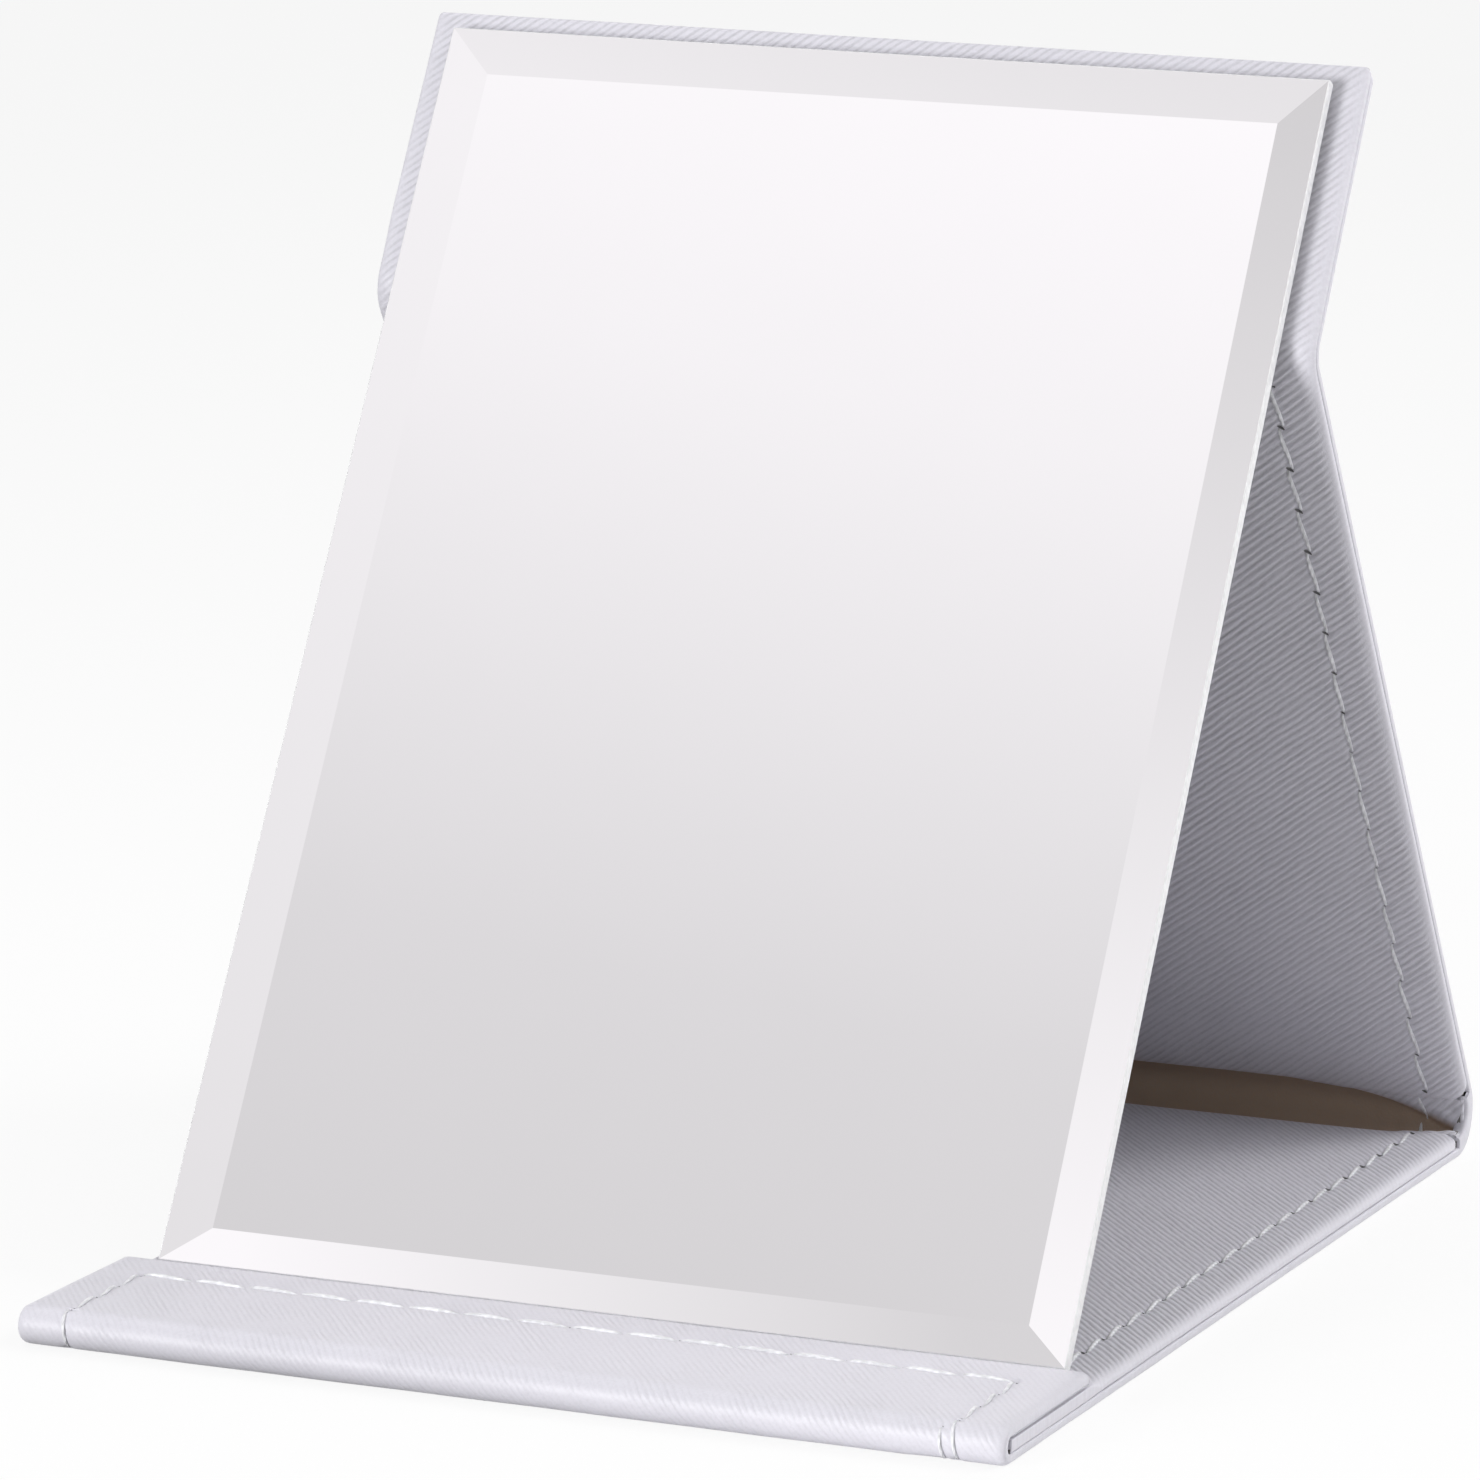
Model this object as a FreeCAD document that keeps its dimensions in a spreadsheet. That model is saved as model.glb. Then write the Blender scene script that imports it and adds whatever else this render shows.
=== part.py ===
import FreeCAD, Part
import Sketcher
import os

# A folding mirror case: four boards covered in one strip of leather, standing as a triangle.
# Every panel is drawn flat in its own frame: x across, y along the strip, z from the outer
# face (0) to the lining face. Lengths are in millimetres and angles in degrees.
# Front is -Y, the underside of the base is z = 0, and the origin is the middle of the footprint.

SIZES = {
    # mirror
    "mirror_width": 131.5,
    "mirror_height": 185.0,
    "glass_edge": 1.9,
    "bevel_width": 6.5,
    "bevel_depth": 0.5,
    "coating": 0.1,
    "coating_inset": 0.5,
    "tape_thickness": 0.8,
    "tape_length": 110.0,
    "tape_width": 9.0,
    "tape_inset": 4.0,
    # case
    "case_width": 140.0,
    "panel_thickness": 3.5,
    "flap_thickness": 1.8,
    "skin": 0.6,
    "top_length": 40.0,
    "top_margin": 3.7,
    "flap_length": 28.8,
    # folds
    "spine_radius": 6.5,
    "upper_radius": 3.0,
    "fold_inset": 0.8,
    "fold_clearance": 0.1,
    "flap_gap": 0.2,
    # stance
    "mirror_lean": 30.2,
    "back_angle": 55.2,
    "foot_gap": 2.3,
    "foot_clearance": 0.3,
    # stitching
    "stitch_length": 6.2,
    "stitch_pitch": 7.8,
    "stitch_width": 0.6,
    "stitch_height": 0.25,
    "stitch_inset": 7.0,
    "end_stitch_inset": 8.3,
    # catch
    "magnet_diameter": 10.0,
    "magnet_spacing": 84.0,
    "magnet_inset": 14.0,
    "plate_thickness": 0.5,
    "pocket_clearance": 0.1,
    # cuts run past the faces they open
    "overrun": 1.0,
    # parts of a panel's or the flap's thickness: seam height, and each roll against its own turned edge
    "seam_share": 0.42,
    "flap_seam_share": 0.62,
    "cover_roll_share": 0.55,
    "lining_roll_share": 0.8,
}

# Places and lengths that follow from the sizes. The back panel is as long as it takes for the
# foot of the mirror to meet the base, and the base as long as it takes to carry foot and flap.
LAYOUT = {
    "spine_angle": "180 - Sizes.back_angle",
    "upper_angle": "90 - Sizes.back_angle + Sizes.mirror_lean",
    "top_angle": "90 - Sizes.mirror_lean",
    "lip_height": "Sizes.panel_thickness + Sizes.flap_gap + Sizes.flap_thickness",
    "nose_radius": "lip_height / 2",
    "glass_stand": "Sizes.tape_thickness + Sizes.coating",
    "foot_drop": "Sizes.mirror_height + Sizes.top_margin - Sizes.top_length",
    "mirror_arm": "Sizes.upper_radius + Sizes.panel_thickness + glass_stand",
    "fold_arm": "Sizes.spine_radius + Sizes.upper_radius",
    "back_length": "(Sizes.panel_thickness + Sizes.foot_clearance + foot_drop * cos(Sizes.mirror_lean)"
                   " - mirror_arm * sin(Sizes.mirror_lean) - Sizes.spine_radius"
                   " - fold_arm * cos(Sizes.back_angle)) / sin(Sizes.back_angle)",
    "foot_run": "back_length * cos(Sizes.back_angle) - fold_arm * sin(Sizes.back_angle)"
                " + mirror_arm * cos(Sizes.mirror_lean) + foot_drop * sin(Sizes.mirror_lean)",
    "base_length": "foot_run + Sizes.glass_edge * cos(Sizes.mirror_lean) + Sizes.foot_gap + Sizes.flap_length",
    "half_depth": "(nose_radius + base_length + Sizes.spine_radius) / 2",
    "base_y": "nose_radius - half_depth",
    "spine_y": "half_depth - Sizes.spine_radius",
    "back_y": "spine_y + Sizes.spine_radius * sin(Sizes.back_angle)",
    "back_z": "Sizes.spine_radius * (1 + cos(Sizes.back_angle))",
    "upper_y": "spine_y + fold_arm * sin(Sizes.back_angle) - back_length * cos(Sizes.back_angle)",
    "upper_z": "Sizes.spine_radius + fold_arm * cos(Sizes.back_angle) + back_length * sin(Sizes.back_angle)",
    "top_y": "upper_y - Sizes.upper_radius * cos(Sizes.mirror_lean)",
    "top_z": "upper_z + Sizes.upper_radius * sin(Sizes.mirror_lean)",
    "inner_width": "Sizes.case_width - 2 * Sizes.skin",
    "fold_width": "Sizes.case_width - 2 * Sizes.fold_inset",
    "mirror_near": "Sizes.top_length - Sizes.top_margin - Sizes.mirror_height",
    "catch_reach": "Sizes.flap_length - Sizes.magnet_inset",
    "pocket_diameter": "Sizes.magnet_diameter + 2 * Sizes.pocket_clearance",
    "stitch_side": "Sizes.case_width / 2 - Sizes.stitch_inset - Sizes.stitch_width / 2",
    "stitch_span": "Sizes.case_width - 2 * Sizes.stitch_inset",
    "stitch_space": "Sizes.stitch_pitch - Sizes.stitch_length",
    "cross_count": "floor((stitch_span + stitch_space) / Sizes.stitch_pitch)",
    "cross_half": "(cross_count * Sizes.stitch_pitch - stitch_space) / 2",
}

X_AXIS = FreeCAD.Vector(1, 0, 0)
Y_AXIS = FreeCAD.Vector(0, 1, 0)
NEAR_ENOUGH = 1e-4

doc = FreeCAD.newDocument("folding_mirror")


def make_sheet(name, cells):
    sheet = doc.addObject("Spreadsheet::Sheet", name)
    for row, (alias, text) in enumerate(cells, 1):
        sheet.set("A%d" % row, alias)
        sheet.set("B%d" % row, text)
        sheet.setAlias("B%d" % row, alias)
    doc.recompute()
    return sheet


sizes = make_sheet("Sizes", [(alias, str(value)) for alias, value in SIZES.items()])
layout = make_sheet("Layout", [(alias, "=" + formula) for alias, formula in LAYOUT.items()])


class Panel:
    """One stiff panel of the strip: where it stands, how thick and how long it is."""

    def __init__(self, name, thickness, seam_share, length, place, axis, angle, far_end_free):
        self.name = name
        self.thickness = thickness
        self.length = length
        self.place = place
        self.axis = axis
        self.angle = angle
        self.far_end_free = far_end_free
        self.seam = "(%s * %s)" % (seam_share, thickness)
        self.core = "(%s - 2 * Sizes.skin)" % thickness

    def body(self, label):
        """An empty body that stands in this panel's frame."""
        body = doc.addObject("PartDesign::Body", label)
        body.Label = label
        body.AllowCompound = True
        body.Placement = FreeCAD.Placement(FreeCAD.Vector(), FreeCAD.Rotation(self.axis, 1))
        body.setExpression("Placement.Base.y", self.place[0])
        body.setExpression("Placement.Base.z", self.place[1])
        body.setExpression("Placement.Rotation.Angle", self.angle)
        nodes.append(body)
        return body


nodes = []
PANEL = "Sizes.panel_thickness"
SEAM = "Sizes.seam_share"
BASE = Panel("base", PANEL, SEAM, "Layout.base_length", ("Layout.base_y", "0"), X_AXIS, "0", False)
BACK = Panel("back", PANEL, SEAM, "Layout.back_length", ("Layout.back_y", "Layout.back_z"),
             X_AXIS, "Layout.spine_angle", False)
TOP = Panel("top", PANEL, SEAM, "Sizes.top_length", ("Layout.top_y", "Layout.top_z"),
            X_AXIS, "Layout.top_angle", True)
FLAP = Panel("flap", "Sizes.flap_thickness", "Sizes.flap_seam_share", "Sizes.flap_length",
             ("Layout.base_y", "Layout.lip_height"), Y_AXIS, "180", True)


def sketch_on(body, role, near, height):
    """A sketch on one of the body's planes, moved by near along the strip and height off the plane."""
    plane = [item for item in body.Origin.OriginFeatures if item.Role == role][0]
    sketch = body.newObject("Sketcher::SketchObject", body.Label + "_sketch")
    sketch.AttachmentSupport = [(plane, "")]
    sketch.MapMode = "FlatFace"
    sketch.setExpression("AttachmentOffset.Base.y", near)
    sketch.setExpression("AttachmentOffset.Base.z", height)
    return sketch


def bind(sketch, constraint, formula):
    """Add a driving dimension and tie it to a formula."""
    number = sketch.addConstraint(constraint)
    name = "size_%d" % number
    sketch.renameConstraint(number, name)
    sketch.setExpression("Constraints." + name, formula)


def outline(sketch, left, right, far):
    """Four lines from y = 0 up to far, square to the axes. Returns the first line's number."""
    first = sketch.GeometryCount
    corners = [(left, 0), (right, 0), (right, far), (left, far)]
    points = [FreeCAD.Vector(x, y, 0) for x, y in corners]
    for i, start in enumerate(points):
        sketch.addGeometry(Part.LineSegment(start, points[(i + 1) % len(points)]))
    for i in range(len(points)):
        follower = first + (i + 1) % len(points)
        sketch.addConstraint(Sketcher.Constraint("Coincident", first + i, 2, follower, 1))
    sketch.addConstraint(Sketcher.Constraint("Horizontal", first + 2))
    for i in (1, 3):
        sketch.addConstraint(Sketcher.Constraint("Vertical", first + i))
    return first


def on_base_line(sketch, first):
    """Keep an outline's first line on the sketch's own x axis."""
    sketch.addConstraint(Sketcher.Constraint("Horizontal", first))
    sketch.addConstraint(Sketcher.Constraint("PointOnObject", first, 1, -1))


def centred_rectangle(body, role, width, length, near, height):
    """A rectangle centred across the panel."""
    sketch = sketch_on(body, role, near, height)
    first = outline(sketch, -1, 1, 1)
    sketch.addConstraint(Sketcher.Constraint("PointOnObject", first, 1, -1))
    sketch.addConstraint(Sketcher.Constraint("Symmetric", first, 1, first, 2, -2))
    bind(sketch, Sketcher.Constraint("DistanceX", first, 1, first, 2, 1), width)
    bind(sketch, Sketcher.Constraint("DistanceY", first + 1, 1, first + 1, 2, 1), length)
    return sketch


def paired_rectangles(body, inner, width, length, near, height):
    """Two equal rectangles, one on each side of the panel's middle line."""
    sketch = sketch_on(body, "XY_Plane", near, height)
    right = outline(sketch, 1, 2, 1)
    on_base_line(sketch, right)
    bind(sketch, Sketcher.Constraint("DistanceX", -1, 1, right, 1, 1), inner)
    bind(sketch, Sketcher.Constraint("DistanceX", right, 1, right, 2, 1), width)
    bind(sketch, Sketcher.Constraint("DistanceY", right + 1, 1, right + 1, 2, 1), length)
    left = outline(sketch, -2, -1, 1)
    sketch.addConstraint(Sketcher.Constraint("Horizontal", left))
    sketch.addConstraint(Sketcher.Constraint("Symmetric", left, 2, right, 1, -2))
    sketch.addConstraint(Sketcher.Constraint("Symmetric", left + 2, 2, right + 2, 1, -2))
    return sketch


def paired_circles(body, spacing, diameter, near, height):
    """Two equal circles, one on each side of the panel's middle line."""
    sketch = sketch_on(body, "XY_Plane", near, height)
    right = sketch.addGeometry(Part.Circle(X_AXIS, FreeCAD.Vector(0, 0, 1), 1))
    left = sketch.addGeometry(Part.Circle(-X_AXIS, FreeCAD.Vector(0, 0, 1), 1))
    sketch.addConstraint(Sketcher.Constraint("PointOnObject", right, 3, -1))
    sketch.addConstraint(Sketcher.Constraint("Symmetric", left, 3, right, 3, -2))
    sketch.addConstraint(Sketcher.Constraint("Equal", right, left))
    bind(sketch, Sketcher.Constraint("DistanceX", left, 3, right, 3, 1), spacing)
    bind(sketch, Sketcher.Constraint("Diameter", right, 1), diameter)
    return sketch


def pad(body, sketch, length, downward=False):
    feature = body.newObject("PartDesign::Pad", body.Label + "_pad")
    feature.Profile = sketch
    feature.setExpression("Length", length)
    feature.Reversed = downward
    sketch.Visibility = False
    return feature


def pocket(body, sketch, depth):
    feature = body.newObject("PartDesign::Pocket", body.Label + "_pocket")
    feature.Profile = sketch
    feature.setExpression("Length", depth)
    sketch.Visibility = False
    return feature


def roll_edges(body, block, face_is_top, far_end_free, radius):
    """Round the long edges of a block's outer face, and the free end with its corners."""
    doc.recompute()
    box = block.Shape.BoundBox
    face_z = box.ZMax if face_is_top else box.ZMin
    picked = []
    for number, edge in enumerate(block.Shape.Edges, 1):
        middle = edge.CenterOfMass
        on_side = min(middle.x - box.XMin, box.XMax - middle.x) < NEAR_ENOUGH
        on_face = abs(middle.z - face_z) < NEAR_ENOUGH
        on_end = far_end_free and box.YMax - middle.y < NEAR_ENOUGH
        if (on_side + on_face + on_end) > 1:
            picked.append("Edge%d" % number)
    feature = body.newObject("PartDesign::Fillet", body.Label + "_roll")
    feature.Base = (block, picked)
    feature.setExpression("Radius", radius)
    return feature


def make_cover(panel):
    """Outer skin: a shallow tray whose turned edges reach the side seam."""
    body = panel.body(panel.name + "_cover")
    sheet = centred_rectangle(body, "XY_Plane", "Sizes.case_width", panel.length, "0", "0")
    block = pad(body, sheet, panel.seam)
    roll_edges(body, block, False, panel.far_end_free, "Sizes.cover_roll_share * " + panel.seam)
    end_wall = "Sizes.skin" if panel.far_end_free else "-Sizes.overrun"
    hollow_length = "%s + Sizes.overrun - (%s)" % (panel.length, end_wall)
    hollow = centred_rectangle(body, "XY_Plane", "Layout.inner_width", hollow_length, "-Sizes.overrun", panel.seam)
    pocket(body, hollow, "%s - Sizes.skin" % panel.seam)


def make_lining(panel):
    """Inner skin: a tray turned over the board, closing its hinge ends down to the cover."""
    body = panel.body(panel.name + "_lining")
    rise = "(%s - %s)" % (panel.thickness, panel.seam)
    sheet = centred_rectangle(body, "XY_Plane", "Sizes.case_width", panel.length, "0", panel.seam)
    block = pad(body, sheet, rise)
    roll_edges(body, block, True, panel.far_end_free, "Sizes.lining_roll_share * " + rise)
    ceiling = "%s - Sizes.skin" % panel.thickness
    hollow_length = "%s - 2 * Sizes.skin" % panel.length
    hollow = centred_rectangle(body, "XY_Plane", "Layout.inner_width", hollow_length, "Sizes.skin", ceiling)
    pocket(body, hollow, "%s - Sizes.skin" % rise)
    ends = ["0"]
    if not panel.far_end_free:
        ends.append("%s - Sizes.skin" % panel.length)
    for near in ends:
        wall = centred_rectangle(body, "XY_Plane", "Layout.inner_width", "Sizes.skin", near, "Sizes.skin")
        pad(body, wall, "%s - Sizes.skin" % panel.seam)


def make_board(panel, catch=None):
    """Stiff board between the skins. A catch is (distance along, floor height, depth) of two round pockets."""
    body = panel.body(panel.name + "_board")
    length = "%s - 2 * Sizes.skin" % panel.length
    sheet = centred_rectangle(body, "XY_Plane", "Layout.inner_width", length, "Sizes.skin", "Sizes.skin")
    pad(body, sheet, panel.core)
    if catch:
        along, bottom, depth = catch
        mouth = paired_circles(body, "Sizes.magnet_spacing", "Layout.pocket_diameter", along,
                               "%s + %s" % (bottom, depth))
        pocket(body, mouth, depth)


def make_catch(panel, label, catch):
    """Two round discs that lie in the board's pockets."""
    along, bottom, depth = catch
    body = panel.body(label)
    disc = paired_circles(body, "Sizes.magnet_spacing", "Sizes.magnet_diameter", along, bottom)
    pad(body, disc, depth)


def make_fold(panel, label, at_far_end, inner_face, axis_height, sweep, forward):
    """A strip of skin that bends round an axis across the panel's end."""
    body = panel.body(label)
    end = panel.length if at_far_end else "0"
    section = centred_rectangle(body, "XZ_Plane", "Layout.fold_width", "Sizes.skin", inner_face, "-(%s)" % end)
    across = sketch_on(body, "XZ_Plane", axis_height, "-(%s)" % end)
    bar = across.addGeometry(Part.LineSegment(-X_AXIS, X_AXIS))
    across.addConstraint(Sketcher.Constraint("PointOnObject", bar, 1, -1))
    across.addConstraint(Sketcher.Constraint("Symmetric", bar, 1, bar, 2, -2))
    bind(across, Sketcher.Constraint("DistanceX", bar, 1, bar, 2, 1), "Layout.fold_width")
    doc.recompute()
    feature = body.newObject("PartDesign::Revolution", label + "_bend")
    feature.Profile = section
    feature.ReferenceAxis = (across, ["Edge1"])
    feature.setExpression("Angle", sweep)
    feature.Reversed = not forward
    section.Visibility = False
    across.Visibility = False


def stitch_rows(body, first, last, height, downward):
    """A row of stitches along each side of the panel, from first to last along the strip."""
    count = "floor((%s - (%s) + Layout.stitch_space) / Sizes.stitch_pitch)" % (last, first)
    run = "Sizes.stitch_pitch * (%s - 1)" % count
    sketch = paired_rectangles(body, "Layout.stitch_side", "Sizes.stitch_width", "Sizes.stitch_length", first, height)
    stitch = pad(body, sketch, "Sizes.stitch_height", downward)
    doc.recompute()
    repeat(body, stitch, (sketch, ["V_Axis"]), run, count)


def cross_row(body, near, height, downward):
    """A row of stitches across the panel's free end."""
    sketch = sketch_on(body, "XY_Plane", near, height)
    sketch.setExpression("AttachmentOffset.Base.x", "-Layout.cross_half")
    first = outline(sketch, 0, 1, 1)
    on_base_line(sketch, first)
    sketch.addConstraint(Sketcher.Constraint("PointOnObject", first, 1, -2))
    bind(sketch, Sketcher.Constraint("DistanceX", first, 1, first, 2, 1), "Sizes.stitch_length")
    bind(sketch, Sketcher.Constraint("DistanceY", first + 1, 1, first + 1, 2, 1), "Sizes.stitch_width")
    stitch = pad(body, sketch, "Sizes.stitch_height", downward)
    doc.recompute()
    repeat(body, stitch, (sketch, ["H_Axis"]), "Sizes.stitch_pitch * (Layout.cross_count - 1)", "Layout.cross_count")


def repeat(body, feature, direction, run, count):
    pattern = body.newObject("PartDesign::LinearPattern", body.Label + "_row")
    pattern.Originals = [feature]
    pattern.Direction = direction
    pattern.setExpression("Length", run)
    pattern.setExpression("Occurrences", count)
    body.Tip = pattern
    doc.recompute()


# Boards, skins and the catch inside them.
BASE_CATCH = ("Layout.catch_reach", "Sizes.panel_thickness - Sizes.skin - Sizes.plate_thickness",
              "Sizes.plate_thickness")
TOP_CATCH = ("Sizes.top_length - Layout.catch_reach", "Sizes.skin", "Sizes.plate_thickness")
FLAP_CATCH = ("Layout.catch_reach", "Sizes.skin", FLAP.core)
for panel, catch in ((BASE, BASE_CATCH), (BACK, None), (TOP, TOP_CATCH), (FLAP, FLAP_CATCH)):
    make_board(panel, catch)
    make_cover(panel)
    make_lining(panel)
make_catch(BASE, "base_catch_plates", BASE_CATCH)
make_catch(TOP, "top_catch_plates", TOP_CATCH)
make_catch(FLAP, "flap_magnets", FLAP_CATCH)

# Folds. Each sweep stops a hair short of the panel that turns on it.
SPINE_SWEEP = "Layout.spine_angle - Sizes.fold_clearance / Sizes.spine_radius * 180 / pi"
UPPER_SWEEP = "Layout.upper_angle - Sizes.fold_clearance / Sizes.upper_radius * 180 / pi"
NOSE_SWEEP = "180 - Sizes.fold_clearance / Layout.nose_radius * 180 / pi"
make_fold(BASE, "spine_cover", True, "0", "Sizes.spine_radius", SPINE_SWEEP, True)
make_fold(BASE, "spine_lining", True, "Sizes.skin", "Sizes.spine_radius", SPINE_SWEEP, True)
make_fold(BASE, "nose_cover", False, "0", "Layout.nose_radius", NOSE_SWEEP, False)
make_fold(BASE, "nose_lining", False, "Sizes.skin", "Layout.nose_radius", NOSE_SWEEP, False)
make_fold(BACK, "upper_fold_cover", True, "0", "-Sizes.upper_radius", UPPER_SWEEP, False)
make_fold(BACK, "upper_fold_lining", True, "Sizes.panel_thickness - Sizes.skin", "-Sizes.upper_radius",
          UPPER_SWEEP, False)

# Mirror on the top panel.
tape = TOP.body("mirror_tape")
for near in ("Sizes.tape_inset", "Sizes.top_length - Sizes.top_margin - Sizes.tape_inset - Sizes.tape_width"):
    strip = centred_rectangle(tape, "XY_Plane", "Sizes.tape_length", "Sizes.tape_width", near, PANEL)
    pad(tape, strip, "Sizes.tape_thickness")

coating = TOP.body("mirror_coating")
film = centred_rectangle(coating, "XY_Plane", "Sizes.mirror_width - 2 * Sizes.coating_inset",
                         "Sizes.mirror_height - 2 * Sizes.coating_inset",
                         "Layout.mirror_near + Sizes.coating_inset", "Sizes.panel_thickness + Sizes.tape_thickness")
pad(coating, film, "Sizes.coating")

glass = TOP.body("mirror_glass")
GLASS_BACK = "Sizes.panel_thickness + Layout.glass_stand"
plate = centred_rectangle(glass, "XY_Plane", "Sizes.mirror_width", "Sizes.mirror_height", "Layout.mirror_near", GLASS_BACK)
pad(glass, plate, "Sizes.glass_edge")
rim = centred_rectangle(glass, "XY_Plane", "Sizes.mirror_width", "Sizes.mirror_height", "Layout.mirror_near",
                        GLASS_BACK + " + Sizes.glass_edge")
field = centred_rectangle(glass, "XY_Plane", "Sizes.mirror_width - 2 * Sizes.bevel_width",
                          "Sizes.mirror_height - 2 * Sizes.bevel_width", "Layout.mirror_near + Sizes.bevel_width",
                          GLASS_BACK + " + Sizes.glass_edge + Sizes.bevel_depth")
doc.recompute()
bevel = glass.newObject("PartDesign::AdditiveLoft", "mirror_bevel")
bevel.Profile = rim
bevel.Sections = [field]
bevel.Ruled = True

# Stitching, proud of the face it is sewn through.
base_stitching = BASE.body("base_stitching")
stitch_rows(base_stitching, "Sizes.flap_length + Layout.stitch_space",
            "Layout.base_length - Layout.stitch_space", PANEL, False)
back_stitching = BACK.body("back_stitching")
for height, downward in ((PANEL, False), ("0", True)):
    stitch_rows(back_stitching, "Layout.stitch_space", "Layout.back_length - Layout.stitch_space", height, downward)
for panel in (TOP, FLAP):
    stitching = panel.body(panel.name + "_stitching")
    turn = "%s - Sizes.end_stitch_inset" % panel.length
    stitch_rows(stitching, "Layout.stitch_space", "%s - Layout.stitch_space" % turn, "0", True)
    cross_row(stitching, "%s - Sizes.stitch_width / 2" % turn, "0", True)

doc.recompute()
faults = []
for item in doc.Objects:
    if "Invalid" in item.State or "Error" in item.State:
        faults.append(item.Name)
for node in nodes:
    if node.Shape.isNull() or not node.Shape.isValid() or not node.Shape.Solids:
        faults.append(node.Label)
if faults:
    raise RuntimeError("not built: " + ", ".join(faults))

os.makedirs("parts", exist_ok=True)
for node in nodes:
    node.Shape.exportStep("parts/%s.step" % node.Label)
    box = node.Shape.BoundBox
    print(node.Label, len(node.Shape.Solids), "x %.2f %.2f y %.2f %.2f z %.2f %.2f" % (
        box.XMin, box.XMax, box.YMin, box.YMax, box.ZMin, box.ZMax))
for alias in LAYOUT:
    print(alias, layout.get(alias))
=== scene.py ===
import math

import bpy
import numpy as np
from mathutils import Matrix, Vector


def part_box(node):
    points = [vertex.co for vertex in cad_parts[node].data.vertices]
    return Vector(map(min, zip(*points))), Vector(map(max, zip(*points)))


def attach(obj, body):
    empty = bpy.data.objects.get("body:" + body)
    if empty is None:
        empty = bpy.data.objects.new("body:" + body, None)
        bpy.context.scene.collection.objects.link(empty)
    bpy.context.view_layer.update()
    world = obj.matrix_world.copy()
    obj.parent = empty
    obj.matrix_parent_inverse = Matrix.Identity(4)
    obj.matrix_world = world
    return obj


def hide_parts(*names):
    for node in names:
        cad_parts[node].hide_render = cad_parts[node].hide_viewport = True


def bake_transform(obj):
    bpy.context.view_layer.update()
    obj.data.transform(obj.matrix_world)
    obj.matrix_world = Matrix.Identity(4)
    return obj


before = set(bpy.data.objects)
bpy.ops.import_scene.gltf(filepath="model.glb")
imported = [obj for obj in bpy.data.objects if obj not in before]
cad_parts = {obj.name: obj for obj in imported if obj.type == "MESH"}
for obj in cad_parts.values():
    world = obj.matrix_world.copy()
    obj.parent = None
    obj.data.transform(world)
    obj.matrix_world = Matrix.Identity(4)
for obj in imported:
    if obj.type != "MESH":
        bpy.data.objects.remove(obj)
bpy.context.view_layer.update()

# Looks of a folding mirror case. Lengths are in millimetres until a mesh is made.
# Each leather sheet is drawn flat, x across and s along the strip, then laid on a panel or round a fold.
MM = 0.001

# Stance and folds
MIRROR_LEAN = math.radians(30.2)
BACK_ANGLE = math.radians(55.2)
SPINE_RADIUS = 6.5
UPPER_RADIUS = 3.0
FROM_BELOW = -math.pi / 2

# Leather and its turned edges. A roll is its reach outward and its drop.
SKIN = 0.5
BOARD_INSET = 0.6
COVER_ROLL = (1.3, 0.8)
LINING_ROLL = (2.2, 1.2)
TOP_ROLL = (0.8, 0.6)
TOP_ROLL_RUN = 10.0
TIGHT_ROLL = (0.2, 0.15)
TIGHT_ROLL_RUN = 5.0
STRIP_DROP = 0.6
SEAM = 1.72
SEAM_GAP = 0.18
SEAM_CURL = 0.28
SEAM_RUN = 0.6
ROLL_SHARE = 0.8
BASE_FRONT_DROP = 2.1
BASE_FRONT_GAP = 0.15

# Flap and nose
FLAP_ROLL = (1.6, 0.8)
FLAP_END_ROLL = (0.4, 0.35)
FLAP_WRAP = 1.6
FLAP_CURL = 0.12
FLAP_UNDER_ROLL = 0.2
FLAP_UNDER_STEPS = 4
FLAP_UNDER_GAP = 0.4
NOSE_LINING_DEPTH = 1.3
NOSE_LINING_INSET = 1.2

# Spine and its valley, which leather from the back, and a little from the base, fills at both ends
SPINE_ROLL = (2.6, 1.5)
SPINE_ROLL_DROP = 2.4
RIM_CLEARANCE = 0.4
RIM_CROWN = 0.45
RIM_CROWN_STEPS = 4
RIM_LAID_BACK = ((0.8, 0.1), (1.6, 0.8))
VALLEY_FACE = 1.3
VALLEY_RISE = 2.15
VALLEY_ROLL = (0.5, 0.3)
VALLEY_INSET = 0.55
VALLEY_RIM = 3.0
OPEN_HALF = 36.0
CLOSING_RUN = 32.0
BACK_FILL_START = 1.02
BACK_FILL_REACH = 0.62
BACK_FILL_WIDTH = 0.22
BASE_FILL_X = (56.0, 69.0)
BASE_FILL_REACH = 0.36
BASE_FILL_WIDTH = 0.2
PUCKER = 0.12
PUCKER_ACROSS, PUCKER_ALONG = 1.9, 0.5
PUCKER_FADE = (0.6, 0.9)

# Unevenness of glued leather: depths, and each wave's turn in radians per millimetre
RIPPLE_DEPTH = 0.05
WIDE_RIPPLE = 0.03
WIDE_ACROSS, WIDE_ACROSS_START = 0.09, 1.7
WIDE_ALONG, WIDE_ALONG_START = 0.083, 0.6
FINE_RIPPLE = 0.018
FINE_ACROSS, FINE_ALONG = 0.31, 0.27

# Steps of the leather's grids
ROLL_STEPS = 8
CURL_STEPS = 3
ROW_STEP = 0.65
FOLD_STEP = 0.2
MIDDLE_STEPS = 12
OUTER_STEPS = 4
BESIDE_SEWING = (0.2, 0.4, 0.65, 0.95, 1.3, 1.9)
VALLEY_MIDDLE_STEPS = 9
VALLEY_END_STEP = 0.75

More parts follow.
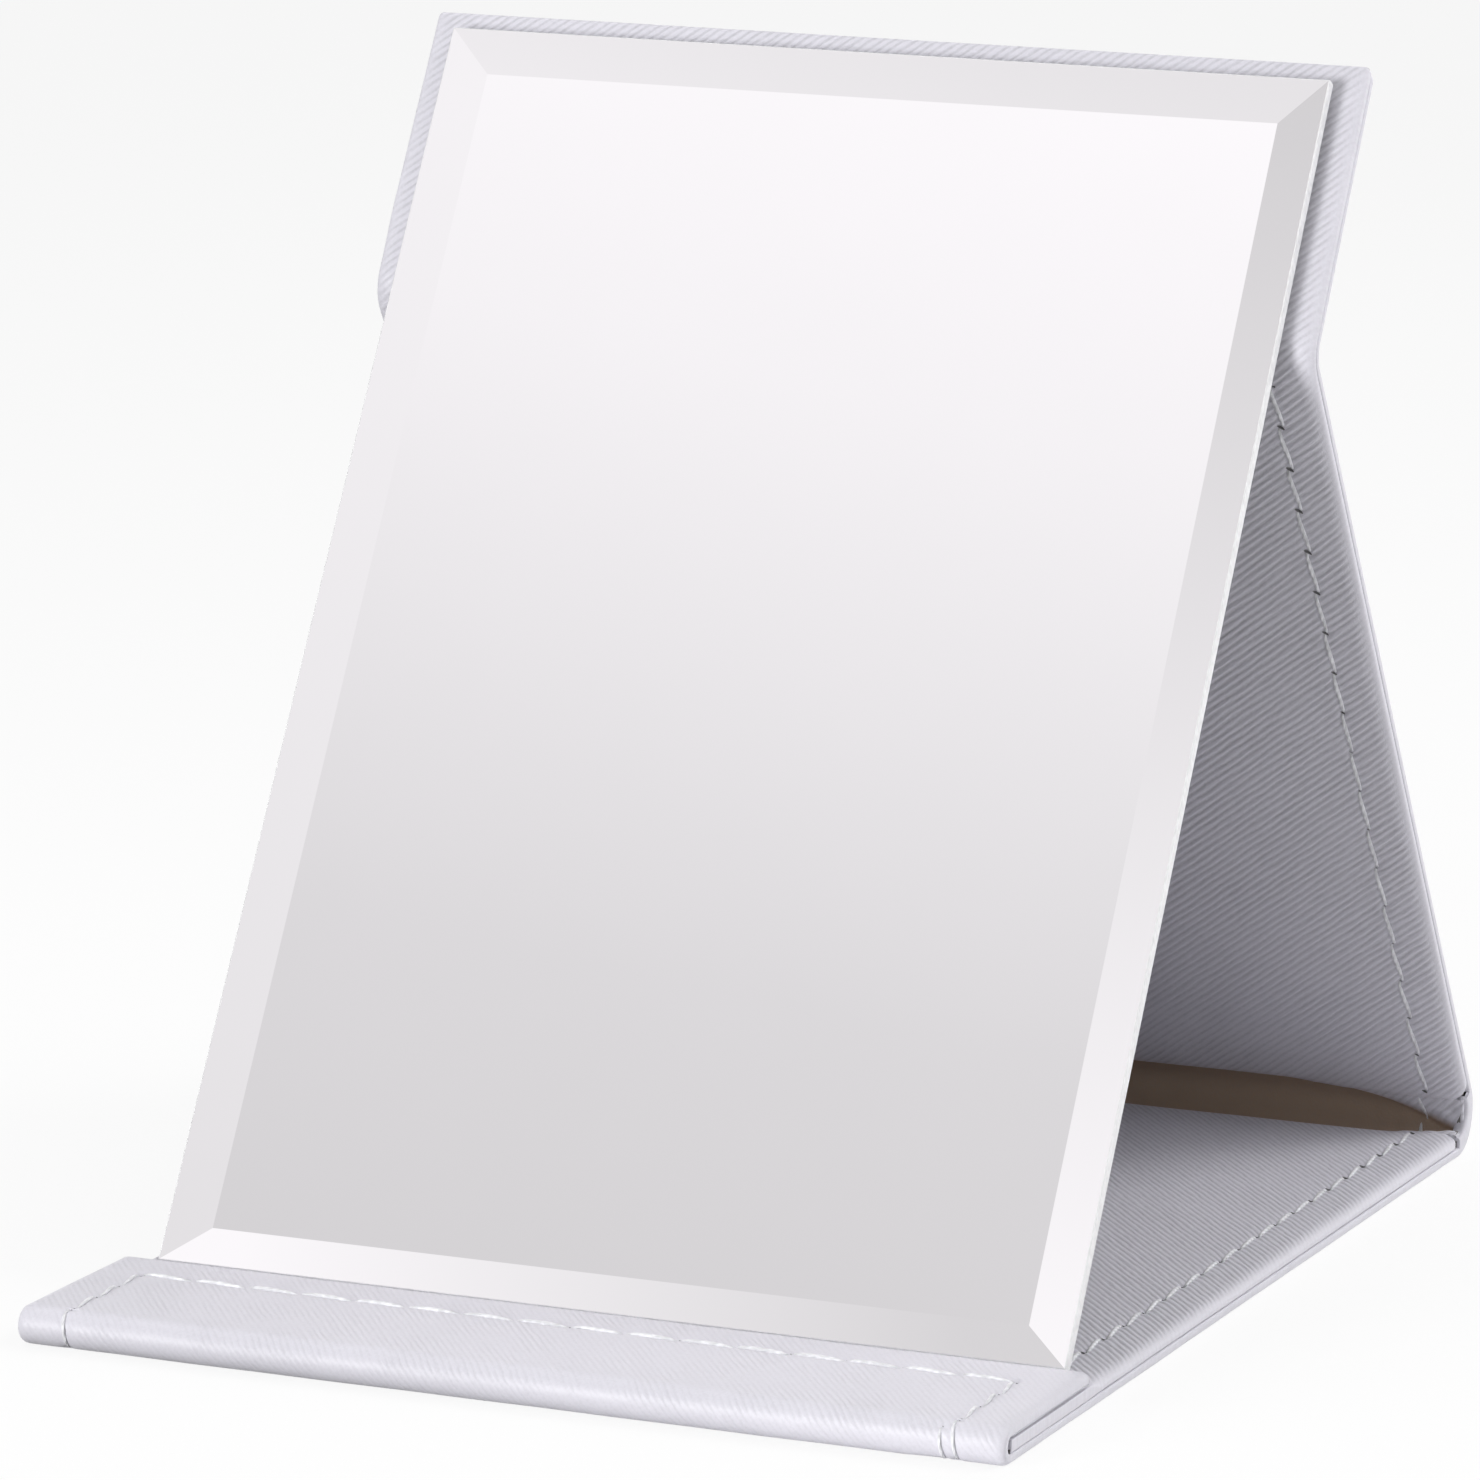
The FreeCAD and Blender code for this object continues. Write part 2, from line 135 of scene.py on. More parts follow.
# Sewing
PITCH = 7.8
STITCH_GAP = 0.5
STITCH_INSET = 7.0
BACK_STITCH_INSET = 6.3
END_STITCH_INSET = 8.3
PANEL_ROW_GAP = 1.0
END_ROW_GAP = 0.6
SPINE_ROW_GAP = 0.4
NOSE_ROW_GAPS = (1.2, 0.2)
NOSE_TAIL_SHIFT = 1.7
NOSE_TAIL_GAPS = (0.8, 2.0)
GROOVE = 0.13
GROOVE_WIDTH = 0.75
HOLE_DEPTH = 0.2
HOLE_WIDTH = 0.45
UNEVEN_STEP, UNEVEN_SEED = 12.9, 7.3
SIDE_DOTS, SIDE_BOLD = 0.6, 0.8
FLAP_DOTS = 0.5
SPINE_DOTS = 0.8
NOSE_DOTS, NOSE_BOLD = 0.2, 0.75

# One stitch of thread, and the dark dot of painted shade in the hole where it dives
THREAD_RADIUS = 0.33
THREAD_ARCH = 0.16
THREAD_DIP = 0.06
THREAD_SINK = 0.05
SINK_SHARE = 0.7
THIN_END = 0.12
TAPER = 0.3
SLANT = 0.28
SLANT_CHANGE = 0.4
DOT_SIZE = 0.6
DOT_CHANGE = 0.35
DOT_ACROSS, DOT_ALONG = 0.62, 0.34
DOT_SKEW = 0.5
DOT_RIM = 0.06
DOT_FLOOR = 0.5
RING = 8
STATIONS = 9

# Mirror
MIRROR_HEIGHT = 185.0
MIRROR_MARGIN = 3.7
MIRROR_STAND = 0.9
EDGE_HEIGHT = 1.9
BEVEL_DEPTH = 0.5
BEVEL_LEFT, BEVEL_RIGHT = 7.2, 6.0
BEVEL_FOOT, BEVEL_HEAD = 5.2, 7.2
ARRIS = 0.18


def smooth(value, low, high):
    """Rise from 0 to 1 between two values, level outside them."""
    t = np.clip((value - low) / (high - low), 0, 1)
    return t * t * (3 - 2 * t)


def box_mm(node):
    """Low and high corner of a node's solids."""
    low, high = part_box(node)
    return np.array(low) / MM, np.array(high) / MM


class Panel:
    """A flat stretch of the strip: place() lays x, s and depth from the outer face into the room."""

    def __init__(self, name, body, origin, angle, length, thickness, hand=1):
        self.name = name
        self.body = body
        self.origin = np.array(origin)
        self.along = np.array([math.cos(angle), math.sin(angle)])
        self.inward = hand * np.array([-math.sin(angle), math.cos(angle)])
        self.length = length
        self.thickness = thickness
        self.hand = hand

    def stretch(self, depth):
        return 1.0

    def place(self, x, s, depth):
        yz = self.origin + s[..., None] * self.along + depth[..., None] * self.inward
        return np.concatenate([x[..., None], yz], axis=-1)


class Fold:
    """A bent stretch of the strip, round an axis across the case."""

    def __init__(self, bodies, centre, radius, start, sweep, turn, inward, hand, meet=0.0):
        self.bodies = bodies
        self.centre = np.array(centre)
        self.radius = radius
        self.start = start
        self.turn = turn
        self.inward = inward
        self.hand = hand
        self.meet = meet
        self.length = radius * sweep

    def stretch(self, depth):
        """Length of a sheet at this depth against the outer face."""
        return 1 + self.inward * depth / self.radius

    def place(self, x, s, depth):
        angle = self.start + self.turn * s / self.radius
        arm = self.radius + self.inward * depth
        y = self.centre[0] + arm * np.cos(angle)
        z = self.centre[1] + arm * np.sin(angle)
        return np.stack([x, y, z], axis=-1)

    def end_point(self, s):
        """A point on the middle line, in metres, at the depth where the fold's ends meet their panels."""
        zero = np.zeros(1)
        return tuple(self.place(zero, zero + s, zero + self.meet)[0] * MM)


# Panels and folds, placed from the frame
base_low, base_high = box_mm("base_cover")
flap_low, flap_high = box_mm("flap_lining")[0], box_mm("flap_cover")[1]
HALF = base_high[0]
PANEL = box_mm("base_lining")[1][2]
RISE = PANEL - SEAM
FLAP = flap_high[2] - flap_low[2]
SPINE_TURN = math.pi - BACK_ANGLE
UPPER_TURN = math.pi / 2 - BACK_ANGLE + MIRROR_LEAN
NOSE_RADIUS = flap_high[2] / 2

spine_centre = (base_high[1], SPINE_RADIUS)
nose_centre = (base_low[1], NOSE_RADIUS)
back_start = (
    base_high[1] + SPINE_RADIUS * math.sin(BACK_ANGLE),
    SPINE_RADIUS * (1 + math.cos(BACK_ANGLE)),
)
back_length = (box_mm("back_cover")[1][2] - back_start[1]) / math.sin(BACK_ANGLE)
fold_arm = SPINE_RADIUS + UPPER_RADIUS
upper_centre = (
    spine_centre[0] + fold_arm * math.sin(BACK_ANGLE) - back_length * math.cos(BACK_ANGLE),
    SPINE_RADIUS + fold_arm * math.cos(BACK_ANGLE) + back_length * math.sin(BACK_ANGLE),
)
top_start = (
    upper_centre[0] - UPPER_RADIUS * math.cos(MIRROR_LEAN),
    upper_centre[1] + UPPER_RADIUS * math.sin(MIRROR_LEAN),
)
board_rise = box_mm("top_board")[1][2] - top_start[1] - (PANEL - BOARD_INSET) * math.sin(MIRROR_LEAN)
top_length = board_rise / math.cos(MIRROR_LEAN) + BOARD_INSET

BASE = Panel("base", "base", (base_low[1], 0), 0, base_high[1] - base_low[1], PANEL)
BACK = Panel("back", "back_panel", back_start, SPINE_TURN, back_length, PANEL)
TOP = Panel("top", "mirror_panel", top_start, math.pi / 2 - MIRROR_LEAN, top_length, PANEL)
FLAP_PANEL = Panel("flap", "flap", (base_low[1], flap_high[2]), 0, flap_high[1] - base_low[1], FLAP,
                   hand=-1)
SPINE = Fold(("base", "back_panel"), spine_centre, SPINE_RADIUS, FROM_BELOW, SPINE_TURN,
             turn=1, inward=-1, hand=1, meet=PANEL)
NOSE = Fold(("base", "flap"), nose_centre, NOSE_RADIUS, FROM_BELOW, math.pi,
            turn=-1, inward=-1, hand=-1, meet=FLAP)
UPPER = Fold(("back_panel", "mirror_panel"), upper_centre, UPPER_RADIUS, math.pi + math.pi / 2 - BACK_ANGLE,
             UPPER_TURN, turn=-1, inward=1, hand=1)


# Node helpers

def add_node(tree, kind, inputs=None, **settings):
    """A shader node with its settings, its constant inputs set and its linked inputs joined."""
    node = tree.nodes.new(kind)
    for key, value in settings.items():
        setattr(node, key, value)
    for key, value in (inputs or {}).items():
        if isinstance(value, bpy.types.NodeSocket):
            tree.links.new(value, node.inputs[key])
        else:
            node.inputs[key].default_value = value
    return node


def math_node(tree, operation, *values):
    return add_node(tree, "ShaderNodeMath", dict(enumerate(values)), operation=operation).outputs[0]


def product(tree, first, second):
    return math_node(tree, "MULTIPLY", first, second)


def noise(tree, vector, scale, detail):
    inputs = {"Vector": vector, "Scale": scale, "Detail": detail}
    return add_node(tree, "ShaderNodeTexNoise", inputs).outputs["Fac"]


def remap(tree, value, low, high, to_low, to_high):
    """Carry one range of a value over to another, level outside it."""
    inputs = {"Value": value, "From Min": low, "From Max": high, "To Min": to_low, "To Max": to_high}
    return add_node(tree, "ShaderNodeMapRange", inputs).outputs["Result"]


def mix_colour(tree, factor, first, second):
    """A colour part way from one to another. The node's colours are its inputs 6 and 7 and its output 2."""
    node = add_node(tree, "ShaderNodeMix", {"Factor": factor}, data_type="RGBA")
    for socket, value in ((node.inputs[6], first), (node.inputs[7], second)):
        if isinstance(value, bpy.types.NodeSocket):
            tree.links.new(value, socket)
        else:
            socket.default_value = (*value, 1)
    return node.outputs[2]


def blend_value(tree, factor, first, second):
    """A plain value part way from one to another."""
    return add_node(tree, "ShaderNodeMix", {0: factor, 2: first, 3: second}).outputs[0]


def shaded(colour, share):
    return tuple(channel * share for channel in colour)


def new_material(name, **sockets):
    """A Principled material with constant sockets set, and its node tree."""
    material = bpy.data.materials.new(name)
    material.use_nodes = True
    tree = material.node_tree
    shader = tree.nodes["Principled BSDF"]
    for key, value in sockets.items():
        shader.inputs[key.replace("_", " ")].default_value = value
    return material, tree, shader


def object_point(tree):
    return add_node(tree, "ShaderNodeTexCoord").outputs["Object"]


def strip_point(tree):
    """Place on the flat hide, in millimetres, with the strength of the emboss as its third value."""
    return add_node(tree, "ShaderNodeAttribute", attribute_name="strip").outputs["Vector"]


def dot(tree, vector, direction):
    inputs = {0: vector, 1: direction}
    return add_node(tree, "ShaderNodeVectorMath", inputs, operation="DOT_PRODUCT").outputs["Value"]


def paint(tree, shader, colour, roughness):
    """Join a colour and a roughness to the shader."""
    tree.links.new(colour, shader.inputs["Base Color"])
    tree.links.new(roughness, shader.inputs["Roughness"])


def bump(tree, shader, height, distance):
    inputs = {"Height": height, "Distance": distance * MM, "Strength": 1.0}
    tree.links.new(add_node(tree, "ShaderNodeBump", inputs).outputs["Normal"], shader.inputs["Normal"])


# Materials. A noise is its scale and its detail, and a range is the part of a value that counts.

MOST = (0.3, 0.7)
MIDDLE = (0.35, 0.65)
WHOLE = (0.0, 1.0)

# Leather
RIB_PITCH = 0.95
RIB_ALONG = (0.62, -0.785, 0)
RIB_ACROSS = (0.785, 0.62, 0)
RIB_DRAWN_OUT = 0.25
RIB_SWING, SWING_NOISE = 4.5, (0.6, 3.0)
BROKEN_RIB, BREAK_NOISE, BREAK_RANGE = 0.45, (2.2, 2.0), (0.3, 0.62)
WORN_NOISE, WORN_RANGE = (0.09, 2.0), (0.4, 0.6)
GRAIN_SHARE, GRAIN_NOISE, GRAIN_RANGE = 0.6, (3.5, 2.0), (-1.0, 1.5)
PATCH_SHADE, PATCH_NOISE = 0.97, (0.05, 3.0)
SPECK, SPECK_NOISE = 0.06, (2.6, 3.0)
FURROW_SHADE, FURROW_RANGE = 0.5, (-1.0, 0.25)
PAINTED_SHADE_RANGE = (0.1, 0.8)
LEATHER_ROUGHNESS = (0.52, 0.38)

# Thread
PLY_PITCH = 1.4
PLY_TWIST = 2.0
PLY_DEPTH = 0.04
PLY_SHADE, PLY_FURROW = 0.72, 0.35
DULL_SHADE, DULL_NOISE, DULL_RANGE = 0.8, (0.5, 2.0), (0.42, 0.58)
FUZZ_NOISE = (6.0, 3.0)
THREAD_ROUGHNESS = (0.45, 0.65)

# Other surfaces
SPECKLE_DETAIL = 4.0
STEEL_LINES, STEEL_NOISE = (40, 900, 900), (4.0, 4.0)
STEEL_ROUGHNESS = (0.25, 0.45)
FILM_NOISE = (40.0, 3.0)
FILM_ROUGHNESS = (0.0, 0.025)


def leather(name, colour, depth, shade, fade, painted_shade=None):
    """Pale leather with fine, slightly broken diagonal ribs that follow the flat hide.

    Ribs fade in wide patches, down to the share given. A painted shade colour shows where the emboss is
    nothing: a dark, brown-tinted taupe that stands for the shade deep in the spine's valley.
    """
    material, tree, shader = new_material(
        name, Specular_IOR_Level=0.4, Sheen_Weight=0.06, Sheen_Roughness=0.5)
    strip = strip_point(tree)
    across, along = dot(tree, strip, RIB_ACROSS), dot(tree, strip, RIB_ALONG)
    emboss = dot(tree, strip, (0, 0, 1))
    drawn_out = {"X": across, "Y": product(tree, along, RIB_DRAWN_OUT)}
    stretched = add_node(tree, "ShaderNodeCombineXYZ", drawn_out).outputs[0]
    swing = product(tree, noise(tree, stretched, *SWING_NOISE), RIB_SWING)
    rib = math_node(tree, "SINE", math_node(tree, "MULTIPLY_ADD", across, 2 * math.pi / RIB_PITCH, swing))
    breaks = remap(tree, noise(tree, stretched, *BREAK_NOISE), *BREAK_RANGE, BROKEN_RIB, 1.0)
    worn = remap(tree, noise(tree, strip, *WORN_NOISE), *WORN_RANGE, fade, 1.0)
    ribs = product(tree, product(tree, rib, breaks), product(tree, worn, emboss))
    grain = math_node(tree, "MULTIPLY_ADD", noise(tree, strip, *GRAIN_NOISE), GRAIN_SHARE, ribs)
    bump(tree, shader, grain, depth)
    patches = remap(tree, noise(tree, strip, *PATCH_NOISE), *MOST, *WHOLE)
    ground = mix_colour(tree, patches, shaded(colour, PATCH_SHADE), colour)
    # Where the emboss is nothing, the colour turns to the painted taupe shade of the valley.
    if painted_shade:
        ground = mix_colour(tree, remap(tree, emboss, *PAINTED_SHADE_RANGE, *WHOLE), painted_shade, ground)
    speck = remap(tree, noise(tree, strip, *SPECK_NOISE), *MIDDLE, -SPECK, SPECK)
    furrow = math_node(tree, "ADD", remap(tree, ribs, *FURROW_RANGE, shade, 0.0), speck)
    roughness = remap(tree, grain, *GRAIN_RANGE, *LEATHER_ROUGHNESS)
    paint(tree, shader, mix_colour(tree, furrow, ground, shaded(colour, FURROW_SHADE)), roughness)
    return material


def thread_material(name, colour):
    """White thread with the twist of its plies."""
    material, tree, shader = new_material(
        name, Specular_IOR_Level=0.4, Sheen_Weight=0.2, Sheen_Roughness=0.4)
    strip = strip_point(tree)
    plies = math_node(tree, "SINE", dot(tree, strip, (2 * math.pi / PLY_PITCH, PLY_TWIST, 0)))
    fuzz = noise(tree, strip, *FUZZ_NOISE)
    patches = remap(tree, noise(tree, strip, *DULL_NOISE), *DULL_RANGE, *WHOLE)
    dull = mix_colour(tree, patches, colour, shaded(colour, DULL_SHADE))
    furrow = remap(tree, plies, -1.0, 1.0, PLY_FURROW, 0.0)
    roughness = remap(tree, fuzz, *MOST, *THREAD_ROUGHNESS)
    paint(tree, shader, mix_colour(tree, furrow, dull, shaded(colour, PLY_SHADE)), roughness)
    bump(tree, shader, plies, PLY_DEPTH)
    return material


def speckled(name, first, second, scale, rough, depth):
    """A fine two-tone surface for what lies inside, behind or at the edges."""
    material, tree, shader = new_material(name)
    grain = noise(tree, object_point(tree), scale, SPECKLE_DETAIL)
    tone = remap(tree, grain, *MIDDLE, *WHOLE)
    paint(tree, shader, mix_colour(tree, tone, first, second), remap(tree, grain, *MOST, *rough))
    bump(tree, shader, grain, depth)
    return material


def brushed_steel(name, dark, bright):
    material, tree, shader = new_material(name, Metallic=1.0)
    drawn_out = {"Vector": object_point(tree), "Scale": STEEL_LINES}
    lines = noise(tree, add_node(tree, "ShaderNodeMapping", drawn_out).outputs[0], *STEEL_NOISE)
    roughness = remap(tree, lines, *MOST, *STEEL_ROUGHNESS)
    paint(tree, shader, mix_colour(tree, lines, dark, bright), roughness)
    return material


def silvered(name, dark, bright):
    """Front of the mirror: bright silvering with a faint film on the glass."""
    material, tree, shader = new_material(name, Metallic=1.0)
    film = noise(tree, object_point(tree), *FILM_NOISE)
    roughness = remap(tree, film, *MOST, *FILM_ROUGHNESS)
    paint(tree, shader, mix_colour(tree, film, dark, bright), roughness)
    return material


PALE = (0.745, 0.731, 0.795)
# Painted shade: a dark, brown-tinted taupe for the shadowed depth of the spine's valley.
TAUPE_VALLEY_SHADE = (0.47, 0.345, 0.25)
# The cover is the lining's own leather, painted 5% darker as shade.
COVER_PAINTED_SHADE = 0.95
COVER_EMBOSS = {"depth": 0.038, "shade": 0.15, "fade": 0.3}
LINING_EMBOSS = {"depth": 0.06, "shade": 0.44, "fade": 0.8}
COVER = leather("cover_leather", shaded(PALE, COVER_PAINTED_SHADE), **COVER_EMBOSS)
LINING = leather("lining_leather", PALE, **LINING_EMBOSS)
VALLEY = leather("valley_lining", PALE, **LINING_EMBOSS, painted_shade=TAUPE_VALLEY_SHADE)
# Dark backing under every skin. In the nose slit and the seam grooves, its dark colour is painted shade.
BACKING_AND_SLIT_SHADE = speckled("leather_backing_and_slit_shade", (0.16, 0.15, 0.15), (0.24, 0.23, 0.22), 3000, (0.8, 0.95), 0.05)
THREAD = thread_material("sewing_thread", (0.92, 0.92, 0.95))
HOLE_PAINTED_SHADE = speckled("needle_hole_painted_shade", (0.12, 0.115, 0.12), (0.2, 0.195, 0.2), 4000, (0.8, 0.9), 0.02)
SILVER = silvered("mirror_silver", (0.972, 0.948, 0.972), (0.988, 0.962, 0.988))
GLASS_EDGE = speckled("glass_edge", (0.79, 0.79, 0.80), (0.88, 0.88, 0.89), 900, (0.3, 0.45), 0.01)
BACK_PAINT = speckled("back_paint", (0.055, 0.06, 0.065), (0.085, 0.09, 0.095), 2500, (0.4, 0.6), 0.02)
GREYBOARD = speckled("greyboard", (0.34, 0.33, 0.31), (0.46, 0.45, 0.42), 1800, (0.8, 0.95), 0.06)
FOAM = speckled("foam_tape", (0.72, 0.72, 0.71), (0.84, 0.84, 0.83), 5000, (0.7, 0.9), 0.08)
MAGNET = speckled("magnet_sheet", (0.03, 0.028, 0.026), (0.07, 0.065, 0.06), 3000, (0.55, 0.75), 0.02)
STEEL = brushed_steel("catch_steel", (0.5, 0.5, 0.5), (0.66, 0.66, 0.65))


# Meshes

def new_piece(name, points, faces, materials, strip=None, face_materials=None, smooth=True):
    mesh = bpy.data.meshes.new(name)
    mesh.from_pydata((points * MM).tolist(), [], faces)
    for material in materials:
        mesh.materials.append(material)
    if face_materials is not None:
        mesh.polygons.foreach_set("material_index", face_materials)
    mesh.polygons.foreach_set("use_smooth", [smooth] * len(mesh.polygons))
    if strip is not None:
        attribute = mesh.attributes.new("strip", "FLOAT_VECTOR", "POINT")
        attribute.data.foreach_set("vector", np.asarray(strip, np.float32).ravel())
    mesh.update()
    piece = bpy.data.objects.new(name, mesh)
    bpy.context.scene.collection.objects.link(piece)
    return piece


class Edge:
    """Section of a turned edge: distances out from the flat and down from its face, for each step round it.

    A second section can take over along the edge, by a share of each place along it.
    """

    def __init__(self, points, other=None, share=None):
        self.out, self.down = np.array(points, float).T
        self.steps = len(points) - 1
        self.other = other
        self.share = share

    def along(self, places):
        """Out and down for each place along the edge."""
        if self.share is None:
            return np.tile(self.out, (len(places), 1)), np.tile(self.down, (len(places), 1))
        part = self.share(places)[:, None]
        out = (1 - part) * self.out + part * self.other.out
        down = (1 - part) * self.down + part * self.other.down
        return out, down

    def turning(self, other, share):
        return Edge(np.stack([self.out, self.down], axis=1), other, share)

    def squared(self):
        """The same reach and depth, as a flat run and a straight wall."""
        flat = ROLL_STEPS + 1
        wall = len(self.out) - flat
        reach = np.concatenate([np.linspace(0, self.out.max(), flat), np.full(wall, self.out.max())])
        down = np.concatenate([np.zeros(flat), np.linspace(0, self.down.max(), wall + 1)[1:]])
        return Edge(np.stack([reach, down], axis=1))


def quarter(out, down, steps):
    """Points of a quarter turn from level to upright."""
    return [(out * math.sin(a), down * (1 - math.cos(a))) for a in np.linspace(0, math.pi / 2, steps + 1)]


def turn_under(out, foot, curl, steps):
    """Points of a quarter turn from an upright wall, inward to its foot."""
    return [(out - curl * (1 - math.cos(a)), foot - curl * (1 - math.sin(a)))
            for a in np.linspace(0, math.pi / 2, steps + 1)]


def rolled_edge(roll, drop, curl=SEAM_CURL):
    """A round roll, a short wall, a curl into the seam and a run that closes it."""
    out, down = roll
    foot = drop - SEAM_GAP / 2
    curl = min(curl, out / 2, foot / 2)
    down = min(down, ROLL_SHARE * (foot - curl))
    wall = [(out, (down + foot - curl) / 2)]
    closing = [(out - curl - SEAM_RUN, drop)]
    return Edge(quarter(out, down, ROLL_STEPS) + wall + turn_under(out, foot, curl, CURL_STEPS) + closing)


def places_inside():
    """Places from the middle to just past the sewing, close together beside it."""
    beside = np.array(BESIDE_SEWING)
    near_row = HALF - STITCH_INSET + np.concatenate([-beside[::-1], [0], beside])
    return np.concatenate([np.linspace(0, near_row[0], MIDDLE_STEPS + 1)[:-1], near_row])


INSIDE = places_inside()


def flat_places(inside, reach):
    """Places across the flat for each reach of it: fixed inside, then spread evenly."""
    spread = np.linspace(0, 1, OUTER_STEPS + 1)[1:]
    outer = inside[-1] + (reach[:, None] - inside[-1]) * spread
    right = np.concatenate([np.tile(inside, (len(reach), 1)), outer], axis=1)
    return np.concatenate([-right[:, :0:-1], right], axis=1)


def ripple(x, s):
    """A slight unevenness of glued leather, never outward."""
    across = np.sin(WIDE_ACROSS * x + WIDE_ACROSS_START)
    along = np.sin(WIDE_ALONG * s + WIDE_ALONG_START)
    fine = np.sin(FINE_ACROSS * x + FINE_ALONG * s)
    return RIPPLE_DEPTH + WIDE_RIPPLE * across * along + FINE_RIPPLE * fine


def sheet_grid(inside, half, side, rows, near, far):
    """Flat grid of a sheet with turned edges: x, s, drop from the face, and how far round the edge."""
    steps = side.steps
    count = np.arange(1, steps + 1)
    end_side, end_step, end_s = np.zeros(len(rows)), np.zeros(len(rows)), np.array(rows)
    if near:
        end_side = np.concatenate([-np.ones(steps), end_side])
        end_step = np.concatenate([count[::-1], end_step])
        end_s = np.concatenate([np.full(steps, rows[0]), end_s])
    if far:
        end_side = np.concatenate([end_side, np.ones(steps)])
        end_step = np.concatenate([end_step, count])
        end_s = np.concatenate([end_s, np.full(steps, rows[-1])])
    side_out, side_down = side.along(end_s)
    flat = flat_places(inside, half - side_out.max(axis=1))
    level = np.zeros(flat.shape[1])
    across_side = np.concatenate([-np.ones(steps), level, np.ones(steps)])
    across_step = np.concatenate([count[::-1], level, count])
    left, right = np.repeat(flat[:, :1], steps, 1), np.repeat(flat[:, -1:], steps, 1)
    across_x = np.concatenate([left, flat, right], axis=1)
    a, e = np.meshgrid(across_step, end_step)
    step = np.maximum(a, e).astype(int)
    larger = np.maximum(step, 1)
    share = np.where(a >= e, 0.5 * e / larger, 1 - 0.5 * a / larger)
    turn = share * math.pi / 2
    far_rows = end_side[:, None] > 0
    near_out, near_down = (near or side).along(across_x[0])
    far_out, far_down = (far or side).along(across_x[-1])

    def by_row(table):
        return np.take_along_axis(table, step, axis=1)

    def by_column(table):
        return np.take_along_axis(table, step.T, axis=1).T

    end_out = np.where(far_rows, by_column(far_out), by_column(near_out))
    end_down = np.where(far_rows, by_column(far_down), by_column(near_down))
    x = across_x + across_side * by_row(side_out) * np.cos(turn)
    s = end_s[:, None] + end_side[:, None] * end_out * np.sin(turn)
    drop = (1 - share) * by_row(side_down) + share * end_down
    return x, s, drop, step / steps


def grid_faces(rows, columns, flip):
    index = np.arange(rows * columns).reshape(rows, columns)
    corners = [index[:-1, :-1], index[:-1, 1:], index[1:, 1:], index[1:, :-1]]
    quads = np.stack(corners, axis=-1).reshape(-1, 4)
    return (quads[:, ::-1] if flip else quads).tolist()


def sharpen_rim(mesh):
    """Keep the shading of a sheet even up to its open ends."""
    uses = np.zeros(len(mesh.edges), int)
    edges = np.zeros(len(mesh.loops), int)
    mesh.loops.foreach_get("edge_index", edges)
    np.add.at(uses, edges, 1)
    mesh.edges.foreach_set("use_edge_sharp", uses == 1)


class Lay:
    """How a sheet lies on the flat hide: mirrored, which way it runs, from where, turned and scaled."""

    def __init__(self, mirror=1, way=1, slide=0.0, turn=0.0, scale=1.0):
        self.mirror = mirror
        self.way = way
        self.slide = slide
        self.cos, self.sin = scale * math.cos(turn), scale * math.sin(turn)

    def hide(self, x, s):
        u, v = self.mirror * x, self.way * s + self.slide
        return u * self.cos - v * self.sin, u * self.sin + v * self.cos


EDGE_EMBOSS = 0.1
EMBOSS_RISE = (0.3, 1.7)


def leather_sheet(name, surface, face, toward, side, rows, material, near=None, far=None, relief=None,
                  lay=Lay(), inside=INSIDE, half=HALF, tone=None, hide_depth=None):
    """One sheet of leather. Face is its depth in the panel, toward the way its edges turn.

    Relief sinks the face and tone gives the emboss. The hide's length is taken at hide_depth, or at face.
    """
    x, s, drop, round_edge = sheet_grid(inside, half, side, rows, near, far)
    flat_s = s * surface.stretch(face if hide_depth is None else hide_depth)
    sink = ripple(x, lay.way * flat_s + lay.slide) * (1 - round_edge)
    if relief:
        sink = sink + relief(x, s)
    points = surface.place(x, s, face + toward * (drop + sink)).reshape(-1, 3)
    if tone:
        emboss = tone(x, s)
    else:
        flat = np.minimum(1 - round_edge, smooth(half - np.abs(x), *EMBOSS_RISE))
        emboss = flat * (1 - EDGE_EMBOSS) + EDGE_EMBOSS
    strip = np.stack([*lay.hide(x, flat_s), emboss], axis=-1).reshape(-1, 3)
    faces = grid_faces(*x.shape, flip=surface.hand * toward > 0)
    piece = new_piece(name, points, faces, [material, BACKING_AND_SLIT_SHADE], strip)
    sharpen_rim(piece.data)
    shell = piece.modifiers.new("thickness", "SOLIDIFY")
    shell.thickness = SKIN * MM
    shell.offset = -1
    # The skin's underside takes the dark backing, which also paints the shade in the slits and seam
    # grooves.
    shell.material_offset = 1
    return piece


# Sewing

